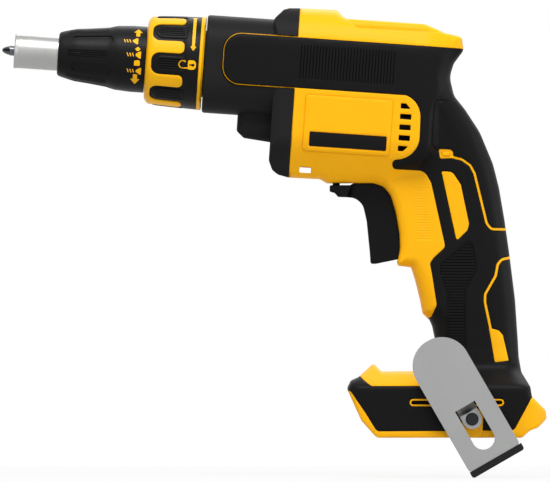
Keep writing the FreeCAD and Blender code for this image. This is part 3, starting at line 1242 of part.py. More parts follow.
def barrel_pieces():
    """Everything that is drawn level and lies along the tilted barrel."""
    return {
        "gear_case": gear_case(), "gear_case_screws": gear_case_screws(),
        "bearing_plate": bearing_plate(), "bearing_plate_screws": bearing_plate_screws(),
        "spindle_bush": tube(BUSH[1], BUSH[0] + RUN_FIT, BUSH_FRONT, BUSH_REAR),
        "spindle_rear_bearing": bearing(REAR_SPINDLE_BEARING, SPINDLE_BEARING_FRONT, 0),
        "motor_front_bearing": bearing(MOTOR_FRONT_BEARING, MOTOR_BEARING_FRONT, MOTOR_W),
        "pinion_front_bearing": bearing(PINION_BEARING, PINION_BEARING_FRONT, MOTOR_W),
        "motor_rear_bearing": bearing(MOTOR_REAR_BEARING, REAR_BEARING_FRONT, MOTOR_W),
        "rear_bearing_holder": rear_bearing_holder(),
        "thrust_washer": tube(WASHER_R, SPINDLE_MID_R + FREE_GAP, CASE_LENGTH - WASHER_THICK, CASE_LENGTH),
        "stator_core": stator_core(), "stator_windings": stator_windings(), "motor_board": motor_board(),
        "rotor_shaft": cylinder(SHAFT_R, SHAFT_FRONT, SHAFT_END, MOTOR_W), "rotor_core": rotor_core(),
        "cooling_fan": cooling_fan(), "pinion": pinion(), "drive_gear": drive_gear(),
        "spring_washer": spring_washer(), "clutch_spring": clutch_spring(),
        "spindle": spindle(), "clutch_plate": clutch_plate(), "bit_holder": bit_holder(),
        "driver_bit": driver_bit(),
        "nose_sleeve": nose_sleeve(), "depth_locator": depth_locator(), "nose_cone": nose_cone(),
        "collar_core": collar_core(), "collar_grip": collar_grip(),
        "work_light_lens": work_light_lens(), "work_light_board": work_light_board()}


def handle_pieces():
    """Everything in the handle, under the barrel and on the foot."""
    return {
        "trigger": trigger(), "trigger_spring": trigger_spring(), "direction_selector": direction_selector(),
        "switch_body": switch_body(), "controller_module": controller_module(),
        "terminal_block": terminal_block(), "battery_contacts": battery_contacts(),
        "battery_leads": battery_leads(), "motor_leads": motor_leads(), "housing_screws": housing_screws(),
        "belt_hook": belt_hook(), "hook_lip_guard": hook_lip_guard(), "hook_screw": hook_screw()}


def main():
    os.makedirs("parts", exist_ok=True)
    pieces = {name: tilted(shape) for name, shape in barrel_pieces().items()}
    pieces.update(handle_pieces())
    pieces.update(housing_pieces())
    for name, shape in pieces.items():
        state = "valid" if shape.isValid() else "NOT VALID"
        print(name, len(shape.Solids), "solids", round(shape.Volume), "mm3", state)
        shape.exportStep("parts/" + name + ".step")


main()
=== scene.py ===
"""The looks of the cordless drywall screwdriver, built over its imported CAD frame.

Lengths are in millimetres until a mesh is made.
"""
import json
import math

import bpy
import numpy as np
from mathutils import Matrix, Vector
from mathutils.geometry import delaunay_2d_cdt, tessellate_polygon
from mathutils.kdtree import KDTree


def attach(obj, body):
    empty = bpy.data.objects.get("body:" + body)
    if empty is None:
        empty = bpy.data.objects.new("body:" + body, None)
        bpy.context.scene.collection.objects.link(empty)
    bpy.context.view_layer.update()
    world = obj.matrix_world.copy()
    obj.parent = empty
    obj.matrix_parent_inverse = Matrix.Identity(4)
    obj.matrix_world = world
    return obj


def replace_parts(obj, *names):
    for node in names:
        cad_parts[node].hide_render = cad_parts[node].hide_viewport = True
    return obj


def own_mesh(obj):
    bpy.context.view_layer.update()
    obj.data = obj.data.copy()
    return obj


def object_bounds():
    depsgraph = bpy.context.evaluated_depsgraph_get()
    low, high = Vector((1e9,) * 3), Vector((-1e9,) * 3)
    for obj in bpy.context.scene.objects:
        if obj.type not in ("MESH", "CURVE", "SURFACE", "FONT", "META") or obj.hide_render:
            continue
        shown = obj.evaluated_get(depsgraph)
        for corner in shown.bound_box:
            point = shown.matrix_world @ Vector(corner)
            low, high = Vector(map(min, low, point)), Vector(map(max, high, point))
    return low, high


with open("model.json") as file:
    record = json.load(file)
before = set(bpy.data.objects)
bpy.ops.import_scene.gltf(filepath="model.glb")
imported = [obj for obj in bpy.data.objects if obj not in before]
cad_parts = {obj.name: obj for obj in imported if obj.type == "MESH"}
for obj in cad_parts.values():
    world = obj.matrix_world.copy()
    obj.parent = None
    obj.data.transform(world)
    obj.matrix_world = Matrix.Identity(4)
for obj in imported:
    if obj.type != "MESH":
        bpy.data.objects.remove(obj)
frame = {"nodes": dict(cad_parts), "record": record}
cad_low, cad_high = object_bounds()

MM = 0.001

# Barrel line: tilt, and the place of the gear case's front face on the spindle axis
BARREL_TILT = math.radians(3.9)
CASE_FRONT_X = -133.3
CASE_FRONT_Z = 210.6
CASE_LENGTH = 48.6


def tilted(u, w):
    """Side-view place (x, z) of a point u along the barrel and w above its axis."""
    return (CASE_FRONT_X + u * math.cos(BARREL_TILT) + w * math.sin(BARREL_TILT),
            CASE_FRONT_Z - u * math.sin(BARREL_TILT) + w * math.cos(BARREL_TILT))


def along_barrel(points):
    """The (u, w) barrel coordinates of side-view points."""
    dx = points[:, 0] - CASE_FRONT_X
    dz = points[:, 1] - CASE_FRONT_Z
    return (dx * math.cos(BARREL_TILT) - dz * math.sin(BARREL_TILT),
            dx * math.sin(BARREL_TILT) + dz * math.cos(BARREL_TILT))


def on_barrel(corners):
    """Corners (u, w, rest...) given along the barrel, as side-view corners (x, z, rest...)."""
    return [tilted(u, w) + tuple(rest) for u, w, *rest in corners]


def box_corners(a_from, a_to, b_from, b_to, near=0.0, far=None):
    """Corners (a, b, rounding) of a box, with one rounding at its first end and one at the other."""
    far = near if far is None else far
    return [(a_from, b_from, near), (a_to, b_from, far), (a_to, b_to, far), (a_from, b_to, near)]


# Housing wall, rubber and fits
WALL = 2.8
SKIN = 1.3
SKIN_MARGIN = 0.1
SEAM = 0.02
ROUND_END_FLAT = 0.02
TRIGGER_ROOM = 9.4
SELECTOR_ROOM = 8.0

# Housing outline: x, z, corner rounding, and the rounding of the edge towards the side
OUTLINE = on_barrel([
    (48.6, -60.9, 0.6, 4.0), (48.6, 34.8, 0.8, 5.0), (69.4, 35.4, 4, 5.0), (74.0, 30.7, 5, 4.0),
    (119.5, 30.8, 14, 4.0), (131.5, 26.4, 12, 4.0), (140.6, 24.9, 3, 4.5), (142.3, 17.4, 4, 6.0)]) + [
    (4.2, 210.6, 6, 8.0), (1.9, 203.2, 12, 9.0), (4.4, 192.6, 10, 10.0), (10.4, 185.2, 8, 11.0),
    (18.9, 172.3, 30, 12.0), (26.5, 154.2, 30, 12.5), (29.9, 140.7, 30, 12.5), (33.0, 122.6, 40, 12.5),
    (35.6, 104.5, 40, 12.5), (39.0, 77.4, 40, 12.5), (40.5, 55.0, 30, 12.5), (41.0, 45.2, 6, 11.0),
    (42.4, 36.7, 6, 8.0), (47.2, 28.6, 5, 5.0), (48.0, 23.2, 2, 3.0), (55.9, 15.3, 3, 2.0),
    (56.5, 10.7, 3, 2.0), (51.4, 5.6, 3, 1.6), (46.9, 4.0, 2, 1.6), (42.4, 0.0, 2, 1.2),
    (-39.5, 0.0, 4, 1.2), (-48.0, 9.6, 5, 1.6), (-55.9, 27.1, 3, 1.6), (-53.7, 31.6, 2, 1.6),
    (-49.3, 33.6, 1, 1.6), (-40.9, 41.5, 1.5, 1.6), (-36.4, 36.8, 2, 2.0), (-4.0, 37.2, 5, 3.0),
    (-5.2, 50.3, 20, 10.0), (-7.8, 62.5, 5, 11.0), (-9.4, 66.2, 2, 11.0), (-13.2, 69.6, 1.5, 11.0),
    (-14.7, 77.4, 20, 10.0), (-17.2, 87.6, 15, 9.0), (-19.7, 95.8, 1.5, 7.0), (-27.2, 96.7, 1.2, 5.0),
    (-27.6, 98.8, 1.2, 5.0), (-26.0, 105.5, 20, 5.0), (-26.3, 114.5, 20, 5.0), (-28.3, 126.4, 30, 5.0),
    (-31.2, 136.2, 10, 5.0), (-35.2, 141.4, 8, 5.0), (-41.0, 143.4, 8, 5.0)] + on_barrel([
    (70.6, -62.7, 2, 5.0), (66.2, -60.6, 3, 5.0)])

# Barrel, handle and foot: half widths that the outline's rounding is taken from
BARREL_HALF_WIDTH = 28.6
BARREL_TOP_CENTRE = (2.6, 10.5, 26.0)
BARREL_TOP_FLAT = 0.05
BARREL_KNEE = -41.0
BARREL_KNEE_SLOPE = 0.544
BARREL_KNEE_BLEND = 4.0
BARREL_REAR = 143.5
BARREL_REAR_CORNER = 24.0
MOTOR_SIDE = on_barrel([
    (-40.0, 60.0, 0), (-40.0, -90.0, 0), (100.0, -90.0, 0), (108.0, -55.0, 12), (130.0, -50.0, 16),
    (130.0, -6.0, 14), (165.0, -6.0, 0), (165.0, 60.0, 0)])
MOTOR_FALL = 8.0
MOTOR_FALL_OUTSIDE = 3.0
MOTOR_FALL_WIDTH = 8.0
HANDLE_HALF = (
    (27.0, 20.5), (36.7, 19.0), (50.3, 17.2), (63.8, 16.5), (122.6, 16.5), (140.7, 17.0), (154.2, 18.0),
    (172.3, 20.0), (185.9, 21.5), (199.4, 22.0), (240.0, 22.0))
HANDLE_FRONT = -34.0
HANDLE_FRONT_SLOPE = 2.0
FOOT_HALF_WIDTH = 36.0
FOOT_SHOULDER = 28.9
FOOT_SLOPE = 1.722
FOOT_BLEND = 3.0
FOOT_TOP = 90.0
FOOT_FRONT = -56.5
FOOT_BACK = 57.0
FOOT_FRONT_CORNER = 9.0
FOOT_BACK_CORNER = 13.0
FOOT_BLOCK = (-62.0, 62.0, -2.0)
CHANNEL_HALF_WIDTH = 29.0
CHANNEL_FRONT = -60.0
CHANNEL_FLOOR = 3.5
CHANNEL_CEILING = 22.0
CHANNEL_BACK = 40.0
RAIL_GAP_HALF = 25.5
RAIL_LOW = -1.0
BLEND = 4.0

# Ridge along the barrel's top, set back from its shoulder
RIDGE_SIDE = [
    (-58.5, 245.0, 0), (-57.2, 235.8, 2), (-50.5, 230.9, 6), (-3.4, 228.1, 12), (3.0, 226.6, 0),
    (3.0, 245.0, 0)]
RIDGE_HALF = 15.0

# Hollow inside: how steeply it grows away from the outline and the ridge, from some distances on
CAVITY_SLOPE = 6.0
CAVITY_EDGE = 2.6
TOP_FROM = 15.0
TOP_SLOPE = 3.0
TOP_EDGE = 2.0

# Rubber: side band, handle and foot, with the hard islands left free in it
BAND = on_barrel([(7.6, -10.3, 9.8), (7.6, 18.1, 9.8), (160.0, 18.1, 0), (160.0, -10.3, 0)])
ARM = on_barrel([(7.2, -10.7, 10.2), (7.2, 18.5, 10.2), (53.0, 18.5, 0), (53.0, -10.7, 0)])
ARM_INNER = 25.8
ARM_EDGE = 0.7
ARM_MARGIN = 0.5
ARM_REACH = 40.0
GRIP_SIDE = [
    (-33.0, 194.2, 0), (-14.2, 192.6, 13), (-15.6, 157.0, 14), (-30.5, 156.5, 2.6), (-30.5, 151.2, 2.4),
    (-12.4, 150.3, 6), (-8.5, 143.5, 8), (-0.5, 107.3, 3), (-7.3, 101.1, 3), (-9.2, 98.0, 2),
    (-8.2, 92.7, 5), (-5.3, 74.6, 5), (-8.7, 67.5, 1.5), (-13.0, 67.0, 0), (-24.0, 60.5, 0),
    (-24.0, 40.0, 0), (-6.0, 37.6, 1), (-9.0, 29.1, 3), (-42.4, 29.1, 2), (-46.3, 32.2, 1),
    (-50.0, 36.0, 0), (-60.0, 32.0, 0), (-60.0, 27.6, 0), (-54.0, 26.0, 1), (-45.8, 14.1, 3),
    (-39.3, 3.6, 3), (37.9, 4.2, 3), (48.0, 23.0, 3), (64.0, 25.4, 0), (64.0, 206.0, 0), (-33.0, 206.0, 0)]
ISLAND_SIDE = [
    (-2.8, 150.1, 0.8), (3.4, 149.7, 4), (8.2, 142.5, 3), (12.9, 120.3, 2), (12.0, 116.8, 2),
    (5.8, 110.7, 1)]
STRIPE_HIGH = (
    (1.0, 158.6), (8.6, 156.8), (13.4, 153.4), (15.9, 148.8), (22.8, 120.6), (25.4, 117.4), (37.0, 117.2))
STRIPE_LOW = (
    (37.5, 101.6), (31.4, 100.3), (29.0, 97.6), (27.8, 91.0), (21.9, 80.6), (21.8, 76.2), (25.2, 60.0))
STRIPE_HALF = 0.75
RIBBON_ROUNDING = 3.0
STRIPE_HIGH_BOX = [(-4.5, 162.7, 1), (2.2, 162.4, 1), (3.8, 161.0, 1), (4.2, 157.4, 0.6), (-3.6, 157.1, 1)]
STRIPE_LOW_BOX = [(24.0, 61.8, 0.4), (29.6, 60.3, 2), (31.9, 57.6, 2), (35.2, 43.3, 0.5), (27.3, 42.2, 1)]
TAB_SIDE = [(-2.7, 161.3, 0.5), (1.8, 161.2, 0.5), (2.0, 158.6, 0.5), (-2.3, 158.6, 0.5)]
HOOK_BOSS = [
    (8.6, -2.0, 0), (8.6, 12.0, 3), (10.5, 17.0, 4), (18.0, 17.0, 4), (20.6, 12.0, 3), (20.0, -2.0, 0)]
PANEL_SIDE = [(60.0, 190.2, 0), (-6.6, 190.0, 3), (-8.2, 165.0, 3), (-3.0, 160.0, 2)] + [
    (x, z, RIBBON_ROUNDING) for x, z in STRIPE_HIGH] + [(60.0, 117.2, 0)]
RIBBED_SIDE = [
    (-3.4, 97.2, 3), (12.0, 110.0, 2), (14.6, 109.0, 3), (17.0, 97.0, 6), (16.7, 93.5, 6), (10.7, 83.0, 8),
    (10.2, 70.0, 10), (10.8, 50.0, 2), (0.4, 50.0, 2), (0.1, 70.0, 10), (0.4, 81.0, 8), (-3.2, 92.0, 6)]

# Raised field on the side panel, its bare dark plate, vents and window
FIELD = on_barrel(box_corners(55.2, 104.4, -13.6, -45.4, 2))
PLATE = on_barrel(box_corners(58.8, 102.2, -34.3, -42.4, 0.8))
VENT_W = -28.4
VENT_PITCH = 6.0
VENT_HALF = 1.5
VENT_FROM = 108.9
VENT_TO = 115.2
VENT_CORNER = 0.4
VENT_OUTER_CUTS = (0.6, 3.4)
WINDOW = on_barrel(box_corners(54.4, 61.0, -57.7, -54.5, 0.5))

# Foot slot, hook hole, housing screws, and the room that trigger and selector sweep
FOOT_SLOT = (-19.9, 31.3, 18.7, 20.9)
# The foot slot's floor is lined with black rubber; its darkness is partly painted shade for the deep recess.
FOOT_SLOT_FLOOR = 32.0
FOOT_SLOT_RIM = 1.0
HOOK_SCREW = (14.3, 10.5)
HOOK_HOLE_R = 2.1
HOOK_HOLE_FLOOR = 30.0
SCREW_PLACES = [tilted(62.5, 25.5), tilted(118.0, 21.0), tilted(84.0, -56.4), tilted(128.5, -11.5),
                (17.5, 156.5), (20.0, 91.0), (16.5, 42.0), (-37.0, 30.2), (47.2, 14.0)]
SCREW_POCKET_R = 3.2
SCREW_BOSS_R = 4.6
SCREW_SEAT = 9.0
SCREW_FLOOR = 2.0
TRIGGER_SWEEP = [
    (-60.0, 91.8, 0), (-18.8, 100.2, 1), (-17.8, 112.0, 10), (-20.8, 128.8, 14), (-23.9, 138.4, 6),
    (-29.4, 144.8, 2), (-60.0, 144.8, 0)]
SELECTOR_SWEEP = box_corners(-64.3, -59.7, 130.0, 150.0)

# Fine ribs: first line, last line, pitch, and depth of the grooves
BAND_RIBS = (51.0, 105.2, 1.75, 0.42)
BAND_RIB_ENDS = (-5.2, 14.4)
GRIP_RIBS = (52.0, 108.6, 1.66, 0.4)
GRIP_RIB_REACH = (-6.0, 19.0)
FRONT_RIBS = (111.8, 140.4, 1.5, 0.16)
FRONT_RIB_STARTS = (-17.4, -21.2)
FRONT_RIB_LENGTH = 10.6
FRONT_RIB_MARGIN = 0.2
RIB_HALF = 0.32
RIB_FADE = 0.8
RIB_POINTS = 6

# Triangles of the housing: rows beside edges and borders, spacings, and room left between groups of points
RING_ANGLES = (14.0, 28.0, 42.0, 56.0, 72.0, 90.0)
RING_SPACING = 0.35
RING_SHARE = 0.85
RING_ROOM = 0.3
RING_RIB_ROOM = 0.5
BORDER_ROWS = (0.14, 0.4)
ARM_ROWS = (0.2, 0.6)
BORDER_SPACING = 0.1
BORDER_ROOM = 0.09
BORDER_RIB_ROOM = 0.12
BORDER_REACH = 1.2
GRID_PITCH = 1.7
GRID_ROW_SHARE = 0.866
GRID_ROOM = 0.75
EDGE_TOUCH = 0.3
EDGE_SMOOTHING = 25
OPEN_FACE = (-60.0, 34.0)

# Outlines and meshes: share of an edge that a corner may take, shortest rounding, half angle of a straight
# corner, turn between its points, share of a distance kept clear, welding and smoothing
CORNER_SHARE = 0.98
CORNER_LEAST = 0.02
CORNER_STRAIGHT = 1.56
CORNER_TURN = 0.3
BESIDE_SHARE = 0.8
MERGE_DISTANCE = 1e-3
FLAT_AREA = 1e-7
WELD_DIGITS = 4
SMOOTH_ANGLE = 34.0


def drop(distance, radius):
    """How far a quarter-round edge falls below its face, at a distance from the edge."""
    inward = np.clip(radius - np.maximum(distance, 0.0), 0.0, None)
    return radius - np.sqrt(np.maximum(radius * radius - inward * inward, 0.0))


def smooth_max(a, b, blend):
    share = np.clip(0.5 + 0.5 * (a - b) / blend, 0.0, 1.0)
    return b + (a - b) * share + blend * share * (1.0 - share)


def smooth_min(a, b, blend):
    return -smooth_max(-a, -b, blend)


def divided(points, values, step):
    """A closed line of points, with values carried along, cut so that no piece is longer than a step."""
    out = []
    for i in range(len(points)):
        here = np.append(points[i], values[i])
        following = np.append(points[(i + 1) % len(points)], values[(i + 1) % len(points)])
        count = max(1, math.ceil(np.linalg.norm(following[:2] - here[:2]) / step))
        out += [here + (following - here) * k / count for k in range(count)]
    return np.array(out)


def rounded(corners, step=0.9):
    """Rows (a, b, value) along a closed outline of corners (a, b, rounding, value)."""
    points = []
    values = []
    count = len(corners)
    places = [np.array(corner[:2], float) for corner in corners]
    for i, corner in enumerate(corners):
        value = corner[3] if len(corner) > 3 else 0.0
        here = places[i]
        back = places[i - 1] - here
        ahead = places[(i + 1) % count] - here
        before = corners[i - 1][2]
        after = corners[(i + 1) % count][2]
        room = min(np.linalg.norm(back) / max(corner[2] + before, 1e-6),
                   np.linalg.norm(ahead) / max(corner[2] + after, 1e-6))
        room = CORNER_SHARE * corner[2] * room
        back = back / np.linalg.norm(back)
        ahead = ahead / np.linalg.norm(ahead)
        half = 0.5 * math.acos(float(np.clip(back @ ahead, -1.0, 1.0)))
        reach = min(corner[2] / math.tan(half), room) if half < CORNER_STRAIGHT else 0.0
        if reach < CORNER_LEAST:
            points.append(here)
            values.append(value)
            continue
        radius = reach * math.tan(half)
        middle = (back + ahead) / np.linalg.norm(back + ahead)
        centre = here + middle * radius / math.sin(half)
        sweep = math.pi - 2 * half
        steps = max(2, math.ceil(sweep * radius / step), math.ceil(sweep / CORNER_TURN))
        side = math.copysign(1.0, back[0] * ahead[1] - back[1] * ahead[0])
        start = here + back * reach - centre
        for k in range(steps + 1):
            turn = -side * sweep * k / steps
            spun = np.array([start[0] * math.cos(turn) - start[1] * math.sin(turn),
                             start[0] * math.sin(turn) + start[1] * math.cos(turn)])
            points.append(centre + spun)
            values.append(value)
    return divided(points, values, step)


def loop(corners, step=0.9):
    return rounded(corners, step)[:, :2]


def circle(centre, radius, count=24):
    angles = np.linspace(0.0, 2 * math.pi, count, endpoint=False)
    return np.stack([centre[0] + radius * np.cos(angles), centre[1] + radius * np.sin(angles)], axis=1)


def ribbon(line, half):
    """A closed outline round an open line, with its corners rounded."""
    ends = (0, len(line) - 1)
    closed = loop([(a, b, 0.0 if i in ends else RIBBON_ROUNDING) for i, (a, b) in enumerate(line)])
    first = int(np.argmin(np.linalg.norm(closed - np.array(line[0]), axis=1)))
    last = int(np.argmin(np.linalg.norm(closed - np.array(line[-1]), axis=1)))
    path = closed[first:last + 1]
    ahead = np.gradient(path, axis=0)
    ahead /= np.linalg.norm(ahead, axis=1)[:, None]
    across = np.stack([-ahead[:, 1], ahead[:, 0]], axis=1) * half
    return np.concatenate([path + across, (path - across)[::-1]])


def inside(points, outline):
    """Which points lie inside a closed outline."""
    result = np.zeros(len(points), bool)
    low = outline.min(axis=0)
    high = outline.max(axis=0)
    near = np.flatnonzero(np.all((points >= low) & (points <= high), axis=1))
    a = points[near, 0]
    b = points[near, 1]
    within = np.zeros(len(near), bool)
    for (a0, b0), (a1, b1) in zip(outline, np.roll(outline, -1, axis=0)):
        if b0 != b1:
            within ^= ((b0 > b) != (b1 > b)) & (a < (a1 - a0) * (b - b0) / (b1 - b0) + a0)
    result[near] = within
    return result


def search_tree(targets):
    tree = KDTree(len(targets))
    for i, (a, b) in enumerate(targets):
        tree.insert((a, b, 0.0), i)
    tree.balance()
    return tree


def nearest(points, targets):
    """Distance from each point to the closest target, and that target's number."""
    tree = search_tree(targets)
    found = [tree.find((a, b, 0.0)) for a, b in points]
    return np.array([hit[2] for hit in found], float), np.array([hit[1] for hit in found], int)


def segment_distance(points, starts, ends, reach):
    """Distance from each point to the closest of many short segments, capped at a reach."""
    tree = search_tree((starts + ends) / 2)
    longest = float(np.linalg.norm(ends - starts, axis=1).max())
    result = np.full(len(points), reach)
    for k, (a, b) in enumerate(points):
        hits = [hit[1] for hit in tree.find_range((a, b, 0.0), reach + longest)]
        if hits:
            start = starts[hits]
            run = ends[hits] - start
            share = np.clip(((points[k] - start) * run).sum(axis=1) / (run * run).sum(axis=1), 0.0, 1.0)
            gap = np.linalg.norm(start + run * share[:, None] - points[k], axis=1).min()
            result[k] = min(reach, gap)
    return result


def normals(outline):
    """Unit vectors across a closed outline, to the left of its run."""
    ahead = np.roll(outline, -1, axis=0) - np.roll(outline, 1, axis=0)
    ahead /= np.maximum(np.linalg.norm(ahead, axis=1), 1e-9)[:, None]
    return np.stack([-ahead[:, 1], ahead[:, 0]], axis=1)


def beside(outline, distances):
    """Points beside a closed outline, on both sides, at some distances."""
    across = normals(outline)
    points = []
    for distance in distances:
        for side in (-distance, distance):
            moved = outline + across * side
            gap, _ = nearest(moved, outline)
            points.append(moved[gap > BESIDE_SHARE * distance])
    return np.concatenate(points)


def spread(points, spacing):
    """The points, less those closer than a spacing to one kept before."""
    kept = []
    cells = {}
    for a, b in points:
        cell = (math.floor(a / spacing), math.floor(b / spacing))
        around = [p for i in (-1, 0, 1) for j in (-1, 0, 1)
                  for p in cells.get((cell[0] + i, cell[1] + j), ())]
        if all((a - p[0]) ** 2 + (b - p[1]) ** 2 >= spacing * spacing for p in around):
            cells.setdefault(cell, []).append((a, b))
            kept.append((a, b))
    return np.array(kept)


def clear_of(points, others, gap):
    distance, _ = nearest(points, others)
    return points[distance > gap]


def triangulated(loops, loose, lines=()):
    """Points and counter-clockwise triangles that keep the edges of every closed loop and open line."""
    coords = []
    edges = []
    for outline in loops:
        base = len(coords)
        coords += [Vector(p) for p in outline]
        edges += [(base + i, base + (i + 1) % len(outline)) for i in range(len(outline))]
    for line in lines:
        base = len(coords)
        coords += [Vector(p) for p in line]
        edges += [(base + i, base + i + 1) for i in range(len(line) - 1)]
    coords += [Vector(p) for p in loose]
    verts, _, faces, _, _, _ = delaunay_2d_cdt(coords, edges, [], 0, MERGE_DISTANCE, False)
    points = np.array([tuple(v) for v in verts])
    tris = np.array([tuple(f) for f in faces])
    a, b, c = (points[tris[:, k]] for k in range(3))
    area = (b[:, 0] - a[:, 0]) * (c[:, 1] - a[:, 1]) - (b[:, 1] - a[:, 1]) * (c[:, 0] - a[:, 0])
    tris[area < 0] = tris[area < 0][:, ::-1]
    return points, tris[np.abs(area) > FLAT_AREA]


def edge_pairs(tris, count):
    """Directed edges (a, b), the triangle of each, and the triangle across it or -1."""
    a = tris.ravel()
    b = np.roll(tris, -1, axis=1).ravel()
    owner = np.repeat(np.arange(len(tris)), 3)
    code = a.astype(np.int64) * count + b
    order = np.argsort(code)
    wanted = b.astype(np.int64) * count + a
    spot = np.clip(np.searchsorted(code[order], wanted), 0, len(code) - 1)
    across = np.where(code[order][spot] == wanted, owner[order][spot], -1)
    return a, b, owner, across


def border_distance(points, tris, level, reach, seam=None):
    """For each level, the distance of its points to where it meets another level, up to a reach."""
    a, b, owner, across = edge_pairs(tris, len(points))
    other = np.where(across >= 0, level[across], -1)
    border = level[owner] != other
    if seam is not None:
        border &= ~(seam[a] & seam[b])
    distances = {}
    for value in np.unique(level):
        rows = border & (level[owner] == value)
        distance = np.full(len(points), reach)
        members = np.unique(tris[level == value])
        if rows.any():
            distance[members] = segment_distance(points[members], points[a[rows]], points[b[rows]], reach)
        distances[value] = distance
    return distances


def closed_solid(points, tris, outer_level, outer, inner_level, inner, place, seam=None, flip=False):
    """Vertices and faces of a closed solid between two stepped height fields over some triangles.

    outer and inner give the heights of each level, as one value or one for every point.
    """
    count = len(points)
    levels = max(int(outer_level.max()), int(inner_level.max())) + 1

    def top(vertex, level):
        return level * count + vertex

    def low(vertex, level):
        return (levels + level) * count + vertex
    faces = [top(tris, outer_level[:, None]), low(tris[:, ::-1], inner_level[:, None])]

    def walls(p, q, r, s):
        faces.append(np.stack([p, q, r], axis=1))
        faces.append(np.stack([p, r, s], axis=1))
    a, b, owner, across = edge_pairs(tris, count)
    free = across < 0
    if seam is not None:
        free &= ~(seam[a] & seam[b])
    ho = outer_level[owner]
    go = inner_level[owner]
    walls(top(b, ho)[free], top(a, ho)[free], low(a, go)[free], low(b, go)[free])
    pair = (across >= 0) & (owner < across)
    step = pair & (ho != outer_level[across])
    hx = outer_level[across]
    walls(top(b, ho)[step], top(a, ho)[step], top(a, hx)[step], top(b, hx)[step])
    step = pair & (go != inner_level[across])
    gx = inner_level[across]
    walls(low(a, go)[step], low(b, go)[step], low(b, gx)[step], low(a, gx)[step])
    faces = np.concatenate(faces)
    used, faces = np.unique(faces, return_inverse=True)
    faces = faces.reshape(-1, 3)
    vertex = used % count
    level = used // count
    height = np.zeros(len(used))
    for k in np.unique(level):
        field = outer[k] if k < levels else inner[k - levels]
        height[level == k] = np.broadcast_to(field, count)[vertex[level == k]]
    where = place(points[vertex], height)
    _, first, same = np.unique(np.round(where, WELD_DIGITS), axis=0, return_index=True, return_inverse=True)
    where = where[first]
    faces = same.reshape(-1)[faces]
    whole = (faces[:, 0] != faces[:, 1]) & (faces[:, 1] != faces[:, 2]) & (faces[:, 2] != faces[:, 0])
    faces = faces[whole]
    _, group, size = np.unique(np.sort(faces, axis=1), axis=0, return_inverse=True, return_counts=True)
    faces = faces[size[group.reshape(-1)] == 1]
    if flip:
        faces = faces[:, ::-1]
    return where, faces


def mesh_piece(name, where, faces):
    """A Blender object from millimetre vertices and triangles, smooth up to an angle."""
    kept, faces = np.unique(faces, return_inverse=True)
    mesh = bpy.data.meshes.new(name)
    mesh.from_pydata((where[kept] * MM).tolist(), [], faces.reshape(-1, 3).tolist())
    mesh.validate()
    mesh.polygons.foreach_set("use_smooth", [True] * len(mesh.polygons))
    mesh.set_sharp_from_angle(angle=math.radians(SMOOTH_ANGLE))
    piece = bpy.data.objects.new(name, mesh)
    bpy.context.scene.collection.objects.link(piece)
    return piece


def dressed(piece, body, slot):
    """A new piece rides its body and takes its slot's finish."""
    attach(piece, body)
    piece.data.materials.append(FINISHES[slot])


def groove_rows(ribs):
    """The lines on which a ribbed zone needs points: three for each groove and one between."""
    first, last, pitch, _ = ribs
    centres = np.arange(first, last + 0.01, pitch)
    return np.concatenate([centres + shift for shift in (-RIB_HALF, 0.0, RIB_HALF, pitch / 2)])


def groove(position, ribs):
    """Depth of a ribbed zone's grooves at a position across them."""
    first, last, pitch, depth = ribs
    off = np.abs((position - first + pitch / 2) % pitch - pitch / 2)
    within = (position > first - RIB_HALF) & (position < last + RIB_HALF)
    return np.where(within, depth * np.clip(1.0 - off / RIB_HALF, 0.0, 1.0), 0.0)


def groove_run(start, end, count):
    """Places along a groove, close together where it fades at its ends."""
    return np.concatenate([[start], np.linspace(start + RIB_FADE, end - RIB_FADE, count), [end]])


def groove_fade(position, start, end):
    return np.clip(np.minimum(position - start, end - position) / RIB_FADE, 0.0, 1.0)


# Surface levels of a housing half
OUT, YELLOW, RUBBER, PANEL, RIBBED, FIELD_TOP, RIDGE, STRIPE, TAB, SLOT, POCKET, HOOK_HOLE, LABEL = range(13)
# The foot slot (SLOT) counts as rubber, so its floor shows black: partly painted shade for the recess.
RUBBER_LEVELS = (RUBBER, PANEL, RIBBED, SLOT)
# Rise of a level above the form, and the rounding of its border
RELIEF = {YELLOW: (0.0, 0.4), FIELD_TOP: (0.45, 0.5), STRIPE: (-0.1, 0.35), TAB: (0.35, 0.5),
          LABEL: (0.5, 0.2), RUBBER: (0.0, 0.5), PANEL: (0.35, 0.5), RIBBED: (-0.15, 0.2)}
LABEL_SEAT = 0.3
# Levels of its inner side
CAVITY, ARM_BACK, CHANNEL, RAIL, FULL, TRIGGER_SIDE, SELECTOR_SIDE, BOSS = range(8)


def vent_outlines():
    """Five slots in a row, the outer two with one end cut back."""
    outlines = []
    for i in range(-2, 3):
        w = VENT_W + VENT_PITCH * i
        end_cut, tip_cut = VENT_OUTER_CUTS if abs(i) == 2 else (0.0, 0.0)
        half = -VENT_HALF if i > 0 else VENT_HALF
        corners = [(VENT_FROM, w + half), (VENT_TO - end_cut, w + half), (VENT_TO - tip_cut, w - half),
                   (VENT_FROM, w - half)]
        outlines.append(loop(on_barrel([corner + (VENT_CORNER,) for corner in corners]), step=0.7))
    return outlines


def slot_corners(rim):
    x_from, x_to, z_from, z_to = FOOT_SLOT
    end = (z_to - z_from) / 2 + rim - ROUND_END_FLAT
    return box_corners(x_from - rim, x_to + rim, z_from - rim, z_to + rim, end)


